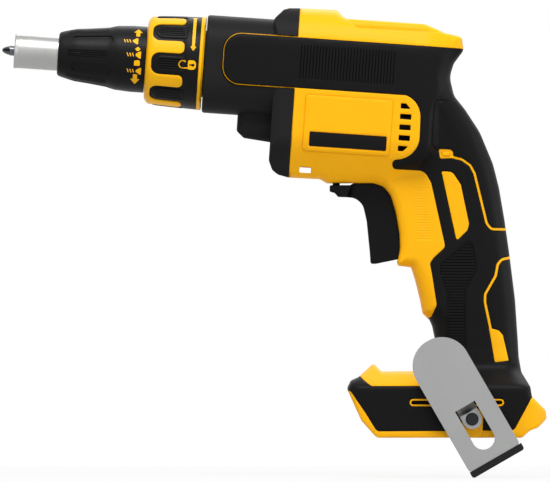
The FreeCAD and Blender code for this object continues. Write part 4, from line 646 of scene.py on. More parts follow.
class HousingSheet:
    """The side view of the housing cut into triangles, with levels and heights for its two halves."""

    def __init__(self):
        outline = rounded(OUTLINE, step=1.0)
        self.outline = outline[:, :2]
        self.arm = loop(ARM, step=0.8)
        self.make_regions()
        self.make_silhouette(outline)
        loops = [self.outline, self.arm] + [shape for _, shape in self.regions] + list(self.inner_loops)
        self.make_ribs()
        self.points, self.tris = triangulated(loops, self.loose_points(), self.rib_lines)
        self.make_levels()
        self.make_heights()

    def make_regions(self):
        """Outlines of the surface levels, in the order in which they are laid over each other."""
        plain = [(RIDGE, RIDGE_SIDE), (RUBBER, BAND), (RUBBER, GRIP_SIDE), (PANEL, PANEL_SIDE),
                 (RIBBED, RIBBED_SIDE), (STRIPE, ISLAND_SIDE)]
        self.regions = [(level, loop(corners)) for level, corners in plain]
        self.regions += [(STRIPE, ribbon(line, STRIPE_HALF)) for line in (STRIPE_HIGH, STRIPE_LOW)]
        self.regions += [(STRIPE, loop(corners)) for corners in (STRIPE_HIGH_BOX, STRIPE_LOW_BOX)]
        self.regions.append((TAB, loop(TAB_SIDE, step=0.5)))
        plain = [(STRIPE, HOOK_BOSS), (STRIPE, slot_corners(FOOT_SLOT_RIM)), (SLOT, slot_corners(0.0)),
                 (FIELD_TOP, FIELD), (LABEL, PLATE)]
        self.regions += [(level, loop(corners)) for level, corners in plain]
        self.regions += [(OUT, loop(WINDOW, step=0.6)), (HOOK_HOLE, circle(HOOK_SCREW, HOOK_HOLE_R))]
        self.regions += [(OUT, outline) for outline in vent_outlines()]
        self.screw_pockets = [circle(place, SCREW_POCKET_R) for place in SCREW_PLACES]
        self.screw_bosses = [circle(place, SCREW_BOSS_R) for place in SCREW_PLACES]
        channel = box_corners(CHANNEL_FRONT, CHANNEL_BACK, CHANNEL_FLOOR, CHANNEL_CEILING)
        rail = box_corners(CHANNEL_FRONT, CHANNEL_BACK, RAIL_LOW, CHANNEL_FLOOR)
        full = box_corners(*FOOT_BLOCK, CHANNEL_CEILING + WALL)
        sweeps = [(TRIGGER_SIDE, TRIGGER_SWEEP), (SELECTOR_SIDE, SELECTOR_SWEEP)]
        self.backs = [(level, loop(corners, step=1.5)) for level, corners in sweeps]
        self.backs += [(level, loop(corners, step=2.0))
                       for level, corners in ((FULL, full), (CHANNEL, channel), (RAIL, rail))]
        self.inner_loops = self.screw_pockets + self.screw_bosses + [shape for _, shape in self.backs]

    def make_silhouette(self, outline):
        """Edge samples with their rounding: the arm, and the outline without its face at the gear case."""
        u, w = along_barrel(outline[:, :2])
        open_face = (np.abs(u - CASE_LENGTH) < EDGE_TOUCH) & (w > OPEN_FACE[0]) & (w < OPEN_FACE[1])
        edge = outline[~open_face]
        radius = edge[:, 2]
        wrap = EDGE_SMOOTHING // 2
        edge_r = np.convolve(np.concatenate([radius[-wrap:], radius, radius[:wrap]]),
                             np.ones(EDGE_SMOOTHING) / EDGE_SMOOTHING, "valid")
        arm_u, _ = along_barrel(self.arm)
        arm_edge = self.arm[arm_u < CASE_LENGTH - ARM_MARGIN]
        self.edge = np.concatenate([edge[:, :2], arm_edge])
        self.edge_r = np.concatenate([edge_r, np.full(len(arm_edge), ARM_EDGE)])
        self.wall_edge = edge[:, :2]

    def loose_points(self):
        """Points that let the surface follow its rounded edges, ribs and broad curves."""
        across = normals(self.outline)
        gap, near = nearest(self.outline, self.edge)
        radius = np.where(gap < EDGE_TOUCH, self.edge_r[near], 1.0)
        groups = []
        for share in 1.0 - np.cos(np.radians(RING_ANGLES)):
            for side in (-1.0, 1.0):
                ring = self.outline + across * (side * share * radius)[:, None]
                ring = ring[inside(ring, self.outline)]
                distance, hit = nearest(ring, self.edge)
                groups.append(ring[distance > RING_SHARE * share * self.edge_r[hit]])
        rings = spread(np.concatenate(groups), RING_SPACING)
        borders = np.concatenate([beside(shape, BORDER_ROWS) for _, shape in self.regions] +
                                 [beside(self.arm, ARM_ROWS)])
        ribs = np.concatenate(self.rib_lines)
        fixed = np.concatenate([self.outline, self.arm] + [shape for _, shape in self.regions])
        rings = clear_of(rings, np.concatenate([fixed, borders]), RING_ROOM)
        low = self.outline.min(axis=0) - ARM_REACH
        high = self.outline.max(axis=0)
        rows = np.arange(low[1], high[1], GRID_ROW_SHARE * GRID_PITCH)
        grid = np.array([(a + 0.5 * GRID_PITCH * (j % 2), b) for j, b in enumerate(rows)
                         for a in np.arange(low[0], high[0], GRID_PITCH)])
        grid = grid[inside(grid, self.outline) | inside(grid, self.arm)]
        grid = clear_of(grid, np.concatenate([fixed, borders, rings, ribs]), GRID_ROOM)
        borders = clear_of(spread(borders, BORDER_SPACING), fixed, BORDER_ROOM)
        borders = clear_of(borders, ribs, BORDER_RIB_ROOM)
        rings = clear_of(rings, ribs, RING_RIB_ROOM)
        return np.concatenate([borders, rings, grid])

    def make_ribs(self):
        """The lines along the fine ribs, which the triangles keep."""
        rows = groove_run(*BAND_RIB_ENDS, RIB_POINTS)
        lines = [np.array([tilted(u, w) for w in rows]) for u in groove_rows(BAND_RIBS)]
        ribbed = dict(self.regions)[RIBBED]
        for z in groove_rows(GRIP_RIBS):
            row = np.array([(x, z) for x in np.arange(*GRIP_RIB_REACH, 1.0)])
            row = row[inside(row, ribbed)]
            if len(row) > 1:
                lines.append(row)
        for z in groove_rows(FRONT_RIBS):
            start = self.front_shift(z)
            lines.append(np.array([(start + x, z) for x in np.linspace(0.0, FRONT_RIB_LENGTH, RIB_POINTS)]))
        self.rib_lines = lines

    @staticmethod
    def front_shift(z):
        """Where the fine lines on the hard front of the grip begin at a height."""
        return np.interp(z, FRONT_RIBS[:2], FRONT_RIB_STARTS)

    def make_levels(self):
        centres = self.points[self.tris].mean(axis=1)
        body = inside(centres, self.outline)
        arm = inside(centres, self.arm) & ~body
        level = np.where(body | arm, YELLOW, OUT)
        for value, shape in self.regions:
            within = inside(centres, shape) & (level != OUT)
            if value in (PANEL, RIBBED):
                within &= level == RUBBER
            level[within] = value
        self.left_level = level
        right = level.copy()
        back = np.where(arm, ARM_BACK, CAVITY)
        for value, shape in self.backs:
            back[inside(centres, shape) & body] = value
        self.left_back = back
        right_back = back.copy()
        for pocket, boss in zip(self.screw_pockets, self.screw_bosses):
            right[inside(centres, pocket)] = POCKET
            hollow = np.isin(back, (CAVITY, TRIGGER_SIDE))
            right_back[inside(centres, boss) & hollow] = BOSS
        self.right_level = right
        self.right_back = right_back

    def make_heights(self):
        """Half thickness of the whole form at every point, and the heights that do not depend on the half."""
        points = self.points
        u, w = along_barrel(points)
        gap, near = nearest(points, self.edge)
        radius = self.edge_r[near]
        wall_gap, _ = nearest(points, self.wall_edge)
        self.form = self.half_width(points, u, w) - drop(gap, radius)
        self.ridge = RIDGE_HALF - drop(gap, radius)
        self.band_ribs = groove(u, BAND_RIBS) * groove_fade(w, *BAND_RIB_ENDS)
        self.grip_ribs = groove(points[:, 1], GRIP_RIBS)
        along = points[:, 0] - self.front_shift(points[:, 1])
        front = (along > FRONT_RIB_MARGIN) & (along < FRONT_RIB_LENGTH - FRONT_RIB_MARGIN)
        self.front_ribs = groove(points[:, 1], FRONT_RIBS) * front
        self.wall_gap = wall_gap
        ridge = loop(RIDGE_SIDE)
        ridge_gap, _ = nearest(points, ridge)
        ridge_gap[inside(points, ridge)] = 0.0
        top_room = RIDGE_HALF - WALL + TOP_SLOPE * np.maximum(ridge_gap - TOP_EDGE, 0.0)
        depth = np.minimum(self.form - WALL, np.where(w > TOP_FROM, top_room, np.inf))
        self.cavity = np.clip(np.minimum(depth, CAVITY_SLOPE * (wall_gap - CAVITY_EDGE)), 0.0, None)

    @staticmethod
    def half_width(points, u, w):
        """Half thickness before the edges are rounded: the barrel, handle and foot blended together."""
        inset, centre_w, top_r = BARREL_TOP_CENTRE
        rise = np.clip(w - centre_w, 0.0, top_r - BARREL_TOP_FLAT)
        barrel = inset + np.sqrt(top_r * top_r - rise * rise)
        knee = BARREL_HALF_WIDTH - BARREL_KNEE_SLOPE * (BARREL_KNEE - w)
        barrel = smooth_min(barrel, knee, BARREL_KNEE_BLEND)
        barrel = barrel - drop(BARREL_REAR - u, BARREL_REAR_CORNER)
        motor = loop(MOTOR_SIDE, step=1.0)
        gap, _ = nearest(points, motor)
        gap = np.where(inside(points, motor), gap, -gap)
        share = np.clip((gap + MOTOR_FALL_OUTSIDE) / MOTOR_FALL_WIDTH, 0.0, 1.0)
        barrel = barrel - MOTOR_FALL * (1.0 - share * share * (3.0 - 2.0 * share))
        x, z = points.T
        handle = np.interp(z, *zip(*HANDLE_HALF)) + HANDLE_FRONT_SLOPE * np.minimum(x - HANDLE_FRONT, 0.0)
        foot = smooth_min(FOOT_HALF_WIDTH, FOOT_HALF_WIDTH - FOOT_SLOPE * (z - FOOT_SHOULDER), FOOT_BLEND)
        foot = foot - drop(x - FOOT_FRONT, FOOT_FRONT_CORNER) - drop(FOOT_BACK - x, FOOT_BACK_CORNER)
        return np.where(z < FOOT_TOP, smooth_max(handle, foot, BLEND), smooth_max(handle, barrel, BLEND))

    def surface(self, level):
        """Outer heights of the housing, of the rubber on it and of the bare plate, for one half's levels."""
        border = border_distance(self.points, self.tris, level, BORDER_REACH)
        form = self.form

        def relief(value, grooves=0.0):
            rise, edge = RELIEF[value]
            return form + rise - drop(border.get(value, BORDER_REACH), edge) - grooves
        under = np.where(self.wall_gap > SKIN + SKIN_MARGIN, np.maximum(form - SKIN - SEAM, 0.0), 0.0)
        housing = {
            YELLOW: relief(YELLOW, self.front_ribs), FIELD_TOP: relief(FIELD_TOP), RIDGE: self.ridge,
            STRIPE: relief(STRIPE), TAB: relief(TAB), RUBBER: under, PANEL: under, RIBBED: under,
            SLOT: FOOT_SLOT_FLOOR - SKIN, POCKET: SCREW_SEAT, HOOK_HOLE: HOOK_HOLE_FLOOR,
            LABEL: form + LABEL_SEAT}
        # Black rubber on the foot slot's floor, partly painted shade for the recess.
        rubber = {RUBBER: relief(RUBBER, self.band_ribs), PANEL: relief(PANEL),
                  RIBBED: relief(RIBBED, self.grip_ribs), SLOT: FOOT_SLOT_FLOOR}
        return housing, rubber, relief(LABEL)

    def inner(self):
        """Heights of the inner side, for every level of it."""
        return {
            CAVITY: self.cavity, ARM_BACK: ARM_INNER, CHANNEL: CHANNEL_HALF_WIDTH, RAIL: RAIL_GAP_HALF,
            FULL: 0.0, BOSS: SCREW_SEAT - SCREW_FLOOR, TRIGGER_SIDE: np.maximum(self.cavity, TRIGGER_ROOM),
            SELECTOR_SIDE: np.maximum(self.cavity, SELECTOR_ROOM)}


def housing_half(sheet, side, level, back):
    """One housing half with its rubber and bare plate. side is -1 for the hook side and 1 for the other."""
    name = "left" if side < 0 else "right"
    housing, rubber, label = sheet.surface(level)

    def place(points, height):
        return np.stack([points[:, 0], side * height, points[:, 1]], axis=1)

    def solid(title, keep, outer, inner_level, inner):
        where, faces = closed_solid(sheet.points, sheet.tris[keep], level[keep], outer, inner_level[keep],
                                    inner, place, flip=side > 0)
        return mesh_piece(title + name, where, faces)
    shell = solid("shell_", level != OUT, housing, back, sheet.inner())
    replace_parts(shell, "housing_" + name)
    seat = {value: np.where(height > 0.0, height + SEAM, 0.0) for value, height in housing.items()}
    grip = solid("rubber_", np.isin(level, RUBBER_LEVELS), rubber, level, seat)
    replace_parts(grip, "grip_" + name)
    plate = solid("name_plate_", level == LABEL, {LABEL: label}, level, {LABEL: housing[LABEL] + SEAM})
    dressed(shell, "body", "housing_yellow")
    dressed(grip, "body", "grip_rubber")
    dressed(plate, "body", "nose_black")


# Nose: ends along the spindle, outer profiles (distance from the front end, radius), bores (up to u, radius)
CONE_ENDS = (-86.0, -36.5)
CONE_PROFILE = (
    (0.0, 11.3), (0.7, 12.3), (2.4, 12.9), (5.4, 13.7), (10.0, 14.9), (19.0, 15.8), (28.0, 16.9),
    (33.0, 18.1), (42.0, 18.7), (49.5, 18.7))
CONE_BORES = ((-81.5, 9.7), (-54.3, 12.0), (-36.5, 14.1))
CONE_UNROLLED_R = 18.6
CONE_PADS = 6
CONE_PAD_FIRST = 4.0
CONE_CHANNEL = (8.0, 31.0, 3.7)
CONE_CHANNEL_CORNER = 1.5
CONE_CHANNEL_DEPTH = 0.9
CONE_CHANNEL_EDGE = 0.5
CONE_EDGE = 0.01
CONE_RIBS = (5.0, 28.2)
CONE_RIB_OFFSETS = (-2.1, -0.7, 0.7, 2.1)
CONE_RIB_DEPTH = 0.35
COLLAR_ENDS = (-36.2, -3.6)
COLLAR_PROFILE = ((0.0, 20.8), (0.5, 22.5), (2.0, 24.4), (4.0, 25.0), (8.0, 25.4), (16.0, 25.8), (32.6, 26.4))
COLLAR_BORES = ((-3.6, 18.9),)
COLLAR_UNROLLED_R = 25.6
COLLAR_CORE_R = 22.0
COLLAR_CORE_EDGE = 0.5
COLLAR_REAR_EDGE = 0.6
COLLAR_FINGERS = 8
COLLAR_FINGER_FIRST = 18.5
COLLAR_FINGER_HALF = 3.7
COLLAR_FINGER_END = 21.4
COLLAR_FINGER_CORNER = 2.8
COLLAR_POCKET_FRONT = 3.2
COLLAR_POCKET_CORNER = 4.5
COLLAR_BAND = (18.0, 29.9)
COLLAR_BAND_OVERLAP = 2.0
COLLAR_FINGER_FROM = COLLAR_BAND[0] - 8.0
COLLAR_POCKET_TO = COLLAR_BAND[0] + 4.0
COLLAR_PAD_RIM = 1.7
COLLAR_PAD_END = 22.6
COLLAR_PAD_FLAT = 0.5
COLLAR_PAD_CORNER = 1.0
COLLAR_PAD_EDGE = 0.6
COLLAR_PAD_SINK = 0.05
COLLAR_RIB_OFFSETS = (-2.8, -1.4, 0.0, 1.4, 2.8)
COLLAR_RIB_DEPTH = 0.45
COLLAR_RIB_INSET = 0.8
COLLAR_RIB_STAGGER = 0.4
COLLAR_GRIP_SINK = 0.12
COLLAR_GROOVE = 0.7
COLLAR_GROOVE_END = COLLAR_FINGER_END + 1.5
COLLAR_GROOVE_FADE = 2.5

# Signs on the nose: arrows (length, head, half width, half head, turn), a block, screws, a lock, and places
CONE_ARROWS = (((6.6, 3.6, 1.1, 2.5, 1), -4.9, 20.4), ((6.8, 3.8, 1.2, 2.6, -1), -5.2, -15.9),
               ((2.4, 1.6, 0.9, 1.9, 1), -4.6, 6.9))
CONE_BLOCK = [(-1.6, -1.5, 0.3), (1.6, -1.5, 0.3), (1.6, 1.2, 0.3), (0.6, 1.8, 0.3), (-1.6, 1.2, 0.3)]
CONE_BLOCK_PLACE = (-4.6, -2.4)
CONE_SCREWS = ((-12.9, 10.4), (-10.8, 2.2), (-10.2, -7.0))
SCREW_HEAD = [
    (5.2, -0.5, 0.1), (7.4, -2.0, 0.2), (8.2, -2.0, 0.2), (8.2, 2.0, 0.2), (7.4, 2.0, 0.2), (5.2, 0.5, 0.1)]
SCREW_TICK = [(0.0, 1.0, 0.1), (0.6, 1.0, 0.1), (1.4, -1.0, 0.1), (0.8, -1.0, 0.1)]
SCREW_TICKS = (0.0, 1.5, 3.0)
ARROW_CORNER = 0.2
TURN_ARROW = (26.5, 2.6, 0.85, 1.8, -1)
TURN_PLACE = (26.3, 6.4)
TURN_BAR = box_corners(-1.5, 1.5, 0.0, 1.0, 0.2)
TURN_BAR_PLACE = (26.3, 32.6)
LOCK_PLACE = (26.1, -1.5)
LOCK_BODY = box_corners(-2.2, 2.4, -2.6, 2.6, 0.8, 2.0)
SHACKLE_PLACE = (21.0, -1.4)
SHACKLE_R = 2.2
SHACKLE_ANGLES = (250.0, 45.0)
SHACKLE_POINTS = 9
SHACKLE_FOOT = (24.0, -3.3)
SHACKLE_HALF = 0.35
KEYHOLE = [
    (-1.5, -0.4, 0.3), (-0.2, -0.4, 0.1), (0.2, -0.8, 0.5), (1.5, -0.8, 0.7), (1.5, 0.8, 0.7),
    (0.2, 0.8, 0.5), (-0.2, 0.4, 0.1), (-1.5, 0.4, 0.3)]
MARK_HEIGHT = 0.08
NOSE_RIB_HALF = 0.4
NOSE_RIB_POINTS = 12

# Triangles of the nose pieces: rows beside borders and ends, spacings, and room left between groups of points
NOSE_BORDER_ROWS = (0.15, 0.4)
NOSE_BORDER_SPACING = 0.12
NOSE_BORDER_ROOM = 0.1
NOSE_RIB_ROOM = 0.15
NOSE_FRONT_ROWS = (0.15, 0.4, 0.8)
NOSE_REAR_ROWS = (0.4, 0.15)
NOSE_PITCH = 0.9
NOSE_GRID_ROOM = 0.5
NOSE_REACH = 2.0
NOSE_SEAM_WIDTH = 1e-4

# Levels of a round nose piece
TURNED, SUNK, GRIP, PAD, MARK = range(1, 6)


class RoundSheet:
    """A round piece unrolled: u along the spindle and s round it, cut into triangles with levels."""

    def __init__(self, ends, profile, bores, radius, regions, ribs):
        self.ends = ends
        self.bores = bores
        self.radius = radius
        self.half = math.pi * radius
        self.regions = self.repeated(regions)
        self.ribs = [line for _, line in self.repeated([(0, line) for line in ribs])]
        self.points, self.tris = triangulated(self.loops(), self.loose_points(), self.ribs)
        centres = self.points[self.tris].mean(axis=1)
        u, s = centres.T
        within = (u > ends[0]) & (u < ends[1]) & (np.abs(s) < self.half)
        self.tris = self.tris[within]
        centres = centres[within]
        self.level = np.full(len(centres), TURNED)
        for value, shape in self.regions:
            self.level[inside(centres, shape)] = value
        self.bore_level = np.searchsorted([u for u, _ in bores], centres[:, 0])
        self.seam = np.abs(np.abs(self.points[:, 1]) - self.half) < NOSE_SEAM_WIDTH
        self.behind = self.points[:, 0] - ends[0]
        self.form = np.interp(self.behind, *zip(*profile))
        self.border = border_distance(self.points, self.tris, self.level, NOSE_REACH, self.seam)

    def repeated(self, shapes):
        """Shapes with a copy a full turn away of those that reach over the seam."""
        copies = []
        for value, shape in shapes:
            copies.append((value, shape))
            for turn in (-2 * self.half, 2 * self.half):
                moved = shape + np.array([0.0, turn])
                if moved[:, 1].min() < self.half and moved[:, 1].max() > -self.half:
                    copies.append((value, moved))
        return copies

    def loops(self):
        front, rear = self.ends
        ends = [rear] + [u for u, _ in self.bores[:-1]]
        bands = [loop(strip(front, u, 0.0, self.half), step=1.0) for u in ends]
        return bands + [shape for _, shape in self.regions]

    def loose_points(self):
        front, rear = self.ends
        borders = np.concatenate([beside(shape, NOSE_BORDER_ROWS) for _, shape in self.regions])
        borders = spread(borders, NOSE_BORDER_SPACING)
        columns = np.concatenate([front + np.array(NOSE_FRONT_ROWS), np.arange(front, rear, NOSE_PITCH)[1:],
                                  rear - np.array(NOSE_REAR_ROWS)])
        rows = np.linspace(-self.half, self.half, 2 * int(self.half))[1:-1]
        grid = np.array([(u, s) for u in columns for s in rows])
        fixed = np.concatenate(self.loops())
        ribs = np.concatenate(self.ribs)
        borders = clear_of(clear_of(borders, fixed, NOSE_BORDER_ROOM), ribs, NOSE_RIB_ROOM)
        grid = clear_of(grid, np.concatenate([fixed, borders, ribs]), NOSE_GRID_ROOM)
        return np.concatenate([borders, grid])

    def gap(self, value):
        return self.border.get(value, NOSE_REACH)

    def place(self, points, height):
        angle = points[:, 1] / self.radius
        x, z = tilted(points[:, 0], height * np.sin(angle))
        return np.stack([x, -height * np.cos(angle), z], axis=1)

    def solid(self, name, heights, levels=None, seat=None):
        """A closed piece over some levels, down to the bore or to a seat radius."""
        keep = np.full(len(self.tris), True) if levels is None else np.isin(self.level, levels)
        if seat is None:
            inner = [radius for _, radius in self.bores]
            inner_level = self.bore_level[keep]
        else:
            inner = [seat]
            inner_level = np.zeros(int(keep.sum()), int)
        where, faces = closed_solid(self.points, self.tris[keep], self.level[keep], heights, inner_level,
                                    inner, self.place, self.seam)
        return mesh_piece(name, where, faces)


def rib_grooves(points, lines, depth):
    """Depth of fine grooves that run along the spindle."""
    deep = np.zeros(len(points))
    for u_from, u_to, s in lines:
        share = np.clip(1.0 - np.abs(points[:, 1] - s) / NOSE_RIB_HALF, 0.0, 1.0)
        deep = np.maximum(deep, depth * share * groove_fade(points[:, 0], u_from, u_to))
    return deep


def rib_rows(lines):
    """The lines along each groove that the triangles keep."""
    return [np.array([(u, s + shift) for u in groove_run(u_from, u_to, NOSE_RIB_POINTS)])
            for u_from, u_to, s in lines for shift in (-NOSE_RIB_HALF, 0.0, NOSE_RIB_HALF)]


def strip(u_from, u_to, middle, half, near=0.0, far=None):
    """Corners of a box along the spindle that reaches half a width to each side of its middle."""
    return box_corners(u_from, u_to, middle - half, middle + half, near, far)


def moved(corners, u, s):
    return [(a + u, b + s, *rest) for a, b, *rest in corners]


def arrow(length, head, half, half_head, turn):
    """Corners of an arrow along s whose tip is at the origin, pointing up for 1 and down for -1."""
    head, length = -turn * head, -turn * length
    corner = ARROW_CORNER
    return [(0.0, 0.0, corner), (-half_head, head, corner), (-half, head, 0), (-half, length, corner),
            (half, length, corner), (half, head, 0), (half_head, head, corner)]


def cone_marks():
    """Outlines of the plain signs for more and less depth, on the cone's rear end."""
    rear = CONE_ENDS[1]
    shapes = [(arrow(*values), u, s) for values, u, s in CONE_ARROWS] + [(CONE_BLOCK, *CONE_BLOCK_PLACE)]
    screw = [SCREW_HEAD] + [moved(SCREW_TICK, a, 0.0) for a in SCREW_TICKS]
    shapes += [(shape, u, s) for u, s in CONE_SCREWS for shape in screw]
    return [loop(moved(shape, rear + u, s), step=0.8) for shape, u, s in shapes]


def collar_marks():
    """Outlines of the turning arrow and the open padlock sign on the collar."""
    front = COLLAR_ENDS[0]

    def placed(shape, place):
        return moved(shape, front + place[0], place[1])
    u, s = SHACKLE_PLACE
    angles = np.radians(np.linspace(*SHACKLE_ANGLES, SHACKLE_POINTS))
    shackle = [(front + u + SHACKLE_R * math.cos(a), s + SHACKLE_R * math.sin(a)) for a in angles]
    return [loop(placed(arrow(*TURN_ARROW), TURN_PLACE), step=1.0),
            loop(placed(TURN_BAR, TURN_BAR_PLACE), step=0.8), loop(placed(LOCK_BODY, LOCK_PLACE), step=0.6),
            ribbon(placed([SHACKLE_FOOT], (0.0, 0.0)) + shackle, SHACKLE_HALF)]


def make_cone():
    """The depth cone with its finger channels, fine ribs and printed signs."""
    front = CONE_ENDS[0]
    step = 360.0 / CONE_PADS
    arc = math.radians(1.0) * CONE_UNROLLED_R
    channel_from, channel_to, half = CONE_CHANNEL
    regions = []
    ribs = []
    for i in range(-CONE_PADS // 2, CONE_PADS // 2):
        middle = (CONE_PAD_FIRST + step * (i + 0.5)) * arc
        channel = strip(front + channel_from, front + channel_to, middle, half, CONE_CHANNEL_CORNER,
                        half - ROUND_END_FLAT)
        regions.append((SUNK, loop(channel, step=0.7)))
        pad = (CONE_PAD_FIRST + step * i) * arc
        ribs += [(front + CONE_RIBS[0], front + CONE_RIBS[1], pad + offset) for offset in CONE_RIB_OFFSETS]
    regions += [(MARK, shape) for shape in cone_marks()]
    sheet = RoundSheet(CONE_ENDS, CONE_PROFILE, CONE_BORES, CONE_UNROLLED_R, regions, rib_rows(ribs))
    turned = sheet.form - rib_grooves(sheet.points, ribs, CONE_RIB_DEPTH)
    heights = {TURNED: turned - drop(sheet.gap(TURNED), CONE_EDGE), MARK: turned,
               SUNK: sheet.form - CONE_CHANNEL_DEPTH + drop(sheet.gap(SUNK), CONE_CHANNEL_EDGE)}
    cone = sheet.solid("depth_cone", heights)
    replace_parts(cone, "nose_cone")
    signs = sheet.solid("depth_signs", {MARK: turned + MARK_HEIGHT}, (MARK,), turned)
    dressed(cone, "cone", "nose_black")
    dressed(signs, "cone", "collar_yellow")


def make_collar():
    """The lock collar: its hard core with fingers, the grip between them and the printed signs."""
    front = COLLAR_ENDS[0]
    step = 360.0 / COLLAR_FINGERS
    arc = math.radians(1.0) * COLLAR_UNROLLED_R
    pocket_half = 0.5 * step * arc - COLLAR_FINGER_HALF
    pad_half = pocket_half - COLLAR_PAD_RIM
    pocket_from = front + COLLAR_POCKET_FRONT
    pad_from = pocket_from + COLLAR_PAD_RIM
    pad_to = front + COLLAR_PAD_END
    pockets = []
    fingers = []
    pads = []
    ribs = []
    for i in range(-COLLAR_FINGERS // 2, COLLAR_FINGERS // 2):
        finger = (COLLAR_FINGER_FIRST + step * i) * arc
        pocket = finger + 0.5 * step * arc
        pockets.append(strip(pocket_from, front + COLLAR_POCKET_TO, pocket, pocket_half,
                             COLLAR_POCKET_CORNER, 0.0))
        fingers.append(strip(front + COLLAR_FINGER_FROM, front + COLLAR_FINGER_END, finger,
                             COLLAR_FINGER_HALF, 0.0, COLLAR_FINGER_CORNER))
        pads.append(strip(pad_from, pad_to, pocket, pad_half, pad_half - COLLAR_PAD_FLAT, COLLAR_PAD_CORNER))
        ribs += [(pad_from + COLLAR_RIB_INSET + COLLAR_RIB_STAGGER * abs(offset), pad_to - COLLAR_RIB_INSET,
                  pocket + offset) for offset in COLLAR_RIB_OFFSETS]
    band_from, band_to = COLLAR_BAND
    reach = math.pi * COLLAR_UNROLLED_R + COLLAR_BAND_OVERLAP
    band = strip(front + band_from, front + band_to, 0.0, reach)
    regions = [(GRIP, loop(corners, step=0.7)) for corners in pockets] + [(GRIP, loop(band, step=1.0))]
    regions += [(TURNED, loop(corners, step=0.7)) for corners in fingers]
    regions += [(PAD, loop(corners, step=0.7)) for corners in pads]
    regions += [(MARK, shape) for shape in collar_marks()]
    regions.append((GRIP, loop(moved(KEYHOLE, front + LOCK_PLACE[0], LOCK_PLACE[1]), step=0.5)))
    sheet = RoundSheet(COLLAR_ENDS, COLLAR_PROFILE, COLLAR_BORES, COLLAR_UNROLLED_R, regions, rib_rows(ribs))
    form = sheet.form - drop(COLLAR_ENDS[1] - sheet.points[:, 0], COLLAR_REAR_EDGE)
    sunk = np.clip((COLLAR_GROOVE_END - sheet.behind) / COLLAR_GROOVE_FADE, 0.0, 1.0) * COLLAR_GROOVE
    grip = form - COLLAR_GRIP_SINK - sunk
    grooves = rib_grooves(sheet.points, ribs, COLLAR_RIB_DEPTH)
    pad = form - COLLAR_PAD_SINK - drop(sheet.gap(PAD), COLLAR_PAD_EDGE) - grooves
    core = sheet.solid("collar_shell", {
        TURNED: form - drop(sheet.gap(TURNED), COLLAR_CORE_EDGE), GRIP: COLLAR_CORE_R, PAD: COLLAR_CORE_R,
        MARK: COLLAR_CORE_R})
    rubber = sheet.solid("collar_rubber", {GRIP: grip, PAD: pad, MARK: grip}, (GRIP, PAD, MARK),
                         COLLAR_CORE_R + SEAM)
    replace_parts(core, "collar_core")
    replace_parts(rubber, "collar_grip")
    signs = sheet.solid("collar_signs", {MARK: grip + MARK_HEIGHT}, (MARK,), grip)
    dressed(core, "collar", "collar_yellow")
    dressed(rubber, "collar", "nose_black")
    dressed(signs, "collar", "collar_yellow")


# Springs: the two ends of each axis, radius of coil and wire, turns, and the travel that shortens it
CLUTCH_SPRING = (tilted(28.6, 0.0), tilted(35.8, 0.0), 8.8, 0.6, 3, 4.0)
TRIGGER_SPRING = ((-24.9, 118.0), (-9.3, 118.0), 4.6, 0.6, 6, 7.0)
COIL_STEPS = 28
WIRE_SIDES = 8


def ring_faces(rings, count):
    """Triangles between the neighbours in a row of closed rings of points."""
    faces = []
    for i in range(rings - 1):
        for k in range(count):
            a = i * count + k
            b = i * count + (k + 1) % count
            faces += [(a, b, b + count), (a, b + count, a + count)]
    return faces


def coil_spring(name, values):
    """A wire coil with closed end turns, from one end of its axis to the other."""
    start, end, radius, wire, turns, travel = values
    start = np.array([start[0], 0.0, start[1]])
    end = np.array([end[0], 0.0, end[1]])
    length = float(np.linalg.norm(end - start))
    ahead = (end - start) / length
    across = np.array([0.0, 1.0, 0.0])
    up = np.cross(ahead, across)
    turn = np.linspace(0.0, turns, turns * COIL_STEPS + 1)
    reach = np.interp(turn, (0.0, 1.0, turns - 1.0, turns),
                      (wire, 3 * wire, length - 3 * wire, length - wire))
    angle = 2 * math.pi * turn
    outward = np.cos(angle)[:, None] * across + np.sin(angle)[:, None] * up
    line = start + reach[:, None] * ahead + radius * outward
    around = np.linspace(0.0, 2 * math.pi, WIRE_SIDES, endpoint=False)
    where = np.concatenate([p + wire * (np.cos(around)[:, None] * out + np.sin(around)[:, None] * ahead)
                            for p, out in zip(line, outward)])
    faces = ring_faces(len(line), WIRE_SIDES)
    last = (len(line) - 1) * WIRE_SIDES
    for k in range(1, WIRE_SIDES - 1):
        faces += [(0, k + 1, k), (last, last + k, last + k + 1)]
    coil = mesh_piece(name, where, np.array(faces))
    dressed(coil, "body", "gear_steel")
    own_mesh(coil)
    return coil


# Finger ends of the direction selector: side outline, distances of both faces from the middle, and rounding
CAP_SIDE = [
    (-65.7, 142.2, 0.8), (-65.7, 138.6, 0.8), (-62.9, 137.8, 0.3), (-60.9, 135.6, 0.8), (-56.2, 135.4, 0.6),
    (-53.4, 142.2, 0.6)]
CAP_FACES = (13.02, 14.6)
CAP_EDGE = 0.5
CAP_RINGS = 4


